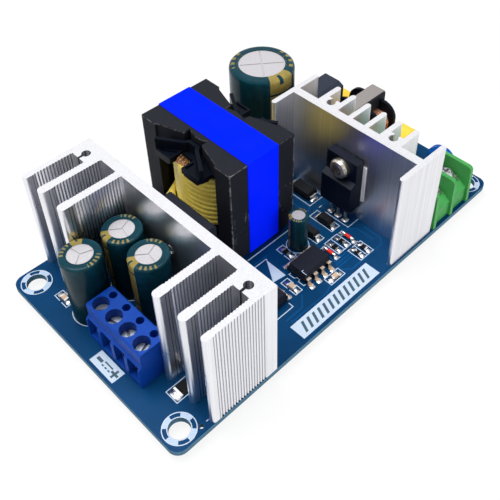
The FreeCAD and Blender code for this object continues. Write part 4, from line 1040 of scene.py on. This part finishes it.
HATCH_FIRST = 41.4
HATCH_STEP = 1.9
HATCH_COUNT = 13
HATCH_W = 0.8
HATCH_LEAN = 1.2
HATCH_LOW = 1.9
HATCH_HIGH = 4.85
for i in range(HATCH_COUNT):
    u = HATCH_FIRST + i * HATCH_STEP
    slab(label_marks, [(u, HATCH_LOW), (u + HATCH_W, HATCH_LOW), (u + HATCH_W + HATCH_LEAN, HATCH_HIGH),
                       (u + HATCH_LEAN, HATCH_HIGH)], 0.0, MARK_TOP)
finish_piece("label_marks", label_marks, TEAL_INK)

# %% [markdown]
# ## The controller's corner mark
# A thin white angle on the black body shows where its first lead is. It lies on the
# body's top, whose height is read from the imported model.

# %% Corner mark
controller_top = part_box("controller_body")[1][2] / MM - BOARD_TOP
corner_mark = bmesh.new()
ink_line(corner_mark, [(52.6, 13.5), (52.0, 13.5), (52.0, 11.8)], 0.14,
         high=controller_top + 0.02, low=controller_top - 0.01)
finish_piece("controller_corner_mark", corner_mark, WHITE_INK)

# %% [markdown]
# ## Tracks under the lacquer
# Copper tracks lift the lacquer by a few hundredths and show a little lighter. They
# are ink lines again, in the lacquer's own finish, and bend at 45 degrees.

# %% Tracks
TRACK_W = 0.42
TRACK_TOP = 0.022
tracks = bmesh.new()


def track(points, width=TRACK_W):
    ink_line(tracks, points, width, TRACK_TOP)


for i in range(3):
    track([(61.6 + i * 0.4, 9.7 + i * 0.95), (67.4, 9.7 + i * 0.95)], 0.5)
track([(73.6, 24.4), (76.4, 24.4)], 0.9)
track([(73.0, 21.9), (75.6, 21.9)], 0.9)
track([(60.2, 9.9), (64.0, 6.9), (76.0, 6.9), (77.4, 8.4), (77.4, 14.0)])
track([(51.8, 25.6), (47.3, 25.6), (45.6, 23.8), (45.6, 20.0), (47.2, 18.2)])
track([(40.3, 7.6), (46.0, 7.6), (49.0, 10.4)])
track([(41.0, 6.4), (54.0, 6.4), (56.6, 7.6)])
track([(73.2, 17.0), (75.6, 15.0), (75.6, 9.6)])
track([(68.6, 27.6), (72.4, 29.6), (72.4, 38.0)])
track([(66.6, 28.4), (70.4, 30.6), (70.4, 38.0)])
track([(13.6, 3.2), (30.0, 3.2), (34.0, 6.0)], 0.8)
for i in range(3):
    track([(93.0 + i * 7.0, 14.6 + i), (93.0 + i * 7.0, 21.0 + i), (98.0 + i * 4.0, 27.0)], 1.4)
finish_piece("copper_tracks", tracks, TRACK)

# %% [markdown]
# ## Solder on the pads
# Chips and diodes sit on tinned pads, and solder climbs their ends in a small mound.
# A mound is a grid of points raised over the pad, higher on the side of the part. Its
# rim goes down to the board, which closes it below.


# %% A mound of solder
CORNER_PULL = 0.18
PAD_TOP = 0.025
MOUND_STEPS = 6


def mound(shape, u, v, half_u, half_v, height, lean=(0.0, 0.0)):
    shares = [2 * i / MOUND_STEPS - 1 for i in range(MOUND_STEPS + 1)]
    rows = []
    for a in shares:
        row = []
        for b in shares:
            squeeze = 1 - CORNER_PULL * (a * a * b * b)
            dome = (1 - max(abs(a), abs(b)) ** 2) ** 0.6
            rise = max(0.0, height * dome * (1 + lean[0] * a + lean[1] * b))
            place = spot(u + a * half_u * squeeze, v + b * half_v * squeeze, PAD_TOP + rise)
            row.append(shape.verts.new(place))
        rows.append(row)
    for one, two in zip(rows, rows[1:]):
        for j in range(MOUND_STEPS):
            shape.faces.new((one[j], two[j], two[j + 1], one[j + 1]))
    rim = rows[0][:-1] + [r[-1] for r in rows[:-1]] + rows[-1][:0:-1] + [r[0] for r in rows[:0:-1]]
    foot = [shape.verts.new((c.co.x, c.co.y, (BOARD_TOP + INK_FOOT) * MM)) for c in rim]
    for i in range(len(rim)):
        j = (i + 1) % len(rim)
        shape.faces.new((rim[i], foot[i], foot[j], rim[j]))
    shape.faces.new(foot)

print("a mound has", (MOUND_STEPS + 1) ** 2, "points on top")

# %% [markdown]
# ## Mounds on every pad
# Mounds stand at both ends of each chip and diode, where they lean on the part, and at
# the feet of the controller's, the coupler's and the transistor's leads.

# %% Mounds on every pad
LEAN = 0.5
LEAD_LEAN = 0.4
solder = bmesh.new()
for u, v, half_body, along_u in resistor_ends + ceramic_ends:
    if not along_u:
        for side in (-1, 1):
            mound(solder, u, v + side * 1.6, 0.72, 0.78, 0.36, (0.0, -LEAN * side))
for u, v, length, width in ((71.3, 22.7, 5.6, 1.8), (65.3, 22.7, 5.6, 1.8), (75.7, 35.0, 7.6, 2.6),
                            (71.3, 14.6, 3.6, 1.3), (63.8, 14.3, 3.6, 1.3)):
    for side in (-1, 1):
        mound(solder, u, v + side * (length / 2 + 0.25), width / 2 + 0.08, 0.62, 0.34,
              (0.0, -LEAN * side))
for side in (-1, 1):
    mound(solder, 58.8 + side * 1.6, 8.2, 0.78, 0.72, 0.36, (-LEAN * side, 0.0))
    mound(solder, 12.65 + side * 3.6, 11.25, 0.85, 1.6, 0.45, (-LEAN * side, 0.0))
for v in (19.56, 22.1, 24.64):
    mound(solder, 75.81, v, 0.95, 0.95, 0.35)
for u in (52.49, 55.03, 57.57, 60.11):
    for v, way in ((10.3, -1), (19.5, 1)):
        mound(solder, u, v + way * 0.05, 0.75, 0.75, 0.2, (0.0, -LEAD_LEAN * way))
for v in (12.23, 14.77):
    for u, way in ((36.8, -1), (46.0, 1)):
        mound(solder, u + way * 0.05, v, 0.75, 0.75, 0.2, (-LEAD_LEAN * way, 0.0))
finish_piece("pad_solder", solder, SOLDER, smooth=True)

# %% [markdown]
# ## Where the leads come out below
# Each lead comes out below the board in a cone of solder. The leads' ends are read from
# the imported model: corners that are joined by edges make one solid, and its lowest
# corners are its feet. Several feet of one solid are told apart by their distance.

# %% Lead ends below the board
UNDER = BOARD_UNDER - BOARD_TOP
SAME_SPOT = 20000
FOOT_APART = 1.8
LOWEST_FOOT = 0.2
SHORTEST_TAIL = 0.3


def islands_of(mesh):
    keys = [tuple(round(c * SAME_SPOT) for c in corner.co) for corner in mesh.vertices]
    group = {key: key for key in keys}

    def head(key):
        while group[key] != key:
            key = group[key]
        return key

    for edge in mesh.edges:
        group[head(keys[edge.vertices[0]])] = head(keys[edge.vertices[1]])
    islands = {}
    for key, corner in zip(keys, mesh.vertices):
        islands.setdefault(head(key), []).append(corner.co / MM)
    return islands.values()


def lead_ends(node):
    found = []
    for corners in islands_of(nodes[node].data):
        lowest = min(c.z for c in corners)
        if LOWEST_FOOT < lowest < BOARD_UNDER - SHORTEST_TAIL:
            left = [c for c in corners if c.z < lowest + 0.1]
            while left:
                foot = [c for c in left if (c - left[0]).length < FOOT_APART]
                left = [c for c in left if c not in foot]
                xs = [c.x for c in foot]
                ys = [c.y for c in foot]
                wide = max(max(xs) - min(xs), max(ys) - min(ys))
                found.append(((min(xs) + max(xs) + BOARD_L) / 2, (min(ys) + max(ys) + BOARD_W) / 2, wide))
    return found


places = []
for node in nodes:
    if node not in ("circuit_board", "heatsink_screws"):
        places += lead_ends(node)
print("leads below the board:", len(places))

# %% [markdown]
# ## Solder cones
# A cone is turned round the lead: a profile of radii and drops, wide and thin at the
# pad and narrow at the cut end.

# %% Solder cones
CONE_SIDES = 16
WIDEST_LEAD = 1.3
CONE_PROFILE = [(0.75, 0.02), (0.72, -0.06), (0.40, -0.30), (0.20, -0.65), (0.09, -1.05), (0.02, -1.25)]


def cone(shape, u, v, width):
    rows = []
    for beyond, drop in CONE_PROFILE:
        circle = arc_points(u, v, width / 2 + beyond, 0, 360, CONE_SIDES)[:-1]
        rows.append([shape.verts.new(spot(*place, UNDER + drop)) for place in circle])
    wrap_rows(shape, rows)


cones = bmesh.new()
for u, v, width in places:
    cone(cones, u, v, min(width, WIDEST_LEAD))
finish_piece("lead_solder", cones, SOLDER, smooth=True)

# %% [markdown]
# ## Copper below the board
# Broad copper areas join the pads under the lacquer, with clipped corners, and a few
# wide runs link them.

# %% Copper below the board
CUT = 1.1
RUN_W = 1.5
copper_areas = bmesh.new()
for u0, v0, u1, v1 in ((7.6, 18.4, 14.4, 26.6), (7.6, 28.6, 14.4, 47.6), (16.0, 28.2, 24.0, 36.2),
                       (16.0, 38.8, 24.0, 47.2), (28.6, 25.4, 42.0, 37.6), (36.6, 41.0, 42.0, 57.0),
                       (64.0, 33.0, 70.0, 45.6), (64.0, 48.2, 78.2, 58.0), (81.8, 53.4, 89.0, 60.0),
                       (88.4, 20.6, 98.8, 28.0), (90.0, 30.2, 97.0, 41.0), (100.4, 30.2, 108.6, 41.0),
                       (90.2, 5.6, 96.4, 11.4), (99.2, 5.6, 105.6, 18.6), (101.0, 44.6, 108.4, 59.2)):
    slab(copper_areas, [(u0 + CUT, v0), (u1 - CUT, v0), (u1, v0 + CUT), (u1, v1 - CUT), (u1 - CUT, v1),
                        (u0 + CUT, v1), (u0, v1 - CUT), (u0, v0 + CUT)], UNDER - 0.025, UNDER + 0.01)
for points in ([(14.2, 22.0), (18.5, 22.0), (21.0, 25.0), (21.0, 28.4)],
               [(42.0, 49.0), (52.0, 49.0), (58.0, 43.0), (64.2, 43.0)],
               [(70.0, 37.0), (73.0, 34.0), (73.0, 24.0), (75.6, 21.6)],
               [(89.0, 56.6), (93.0, 56.6), (96.0, 53.6), (101.0, 53.6)],
               [(48.0, 10.0), (60.0, 10.0), (66.0, 16.0), (66.0, 28.0)],
               [(98.8, 24.0), (103.0, 24.0), (106.0, 27.0), (106.0, 30.2)]):
    ink_line(copper_areas, points, RUN_W, high=UNDER + 0.01, low=UNDER - 0.022)
finish_piece("underside_copper", copper_areas, TRACK)
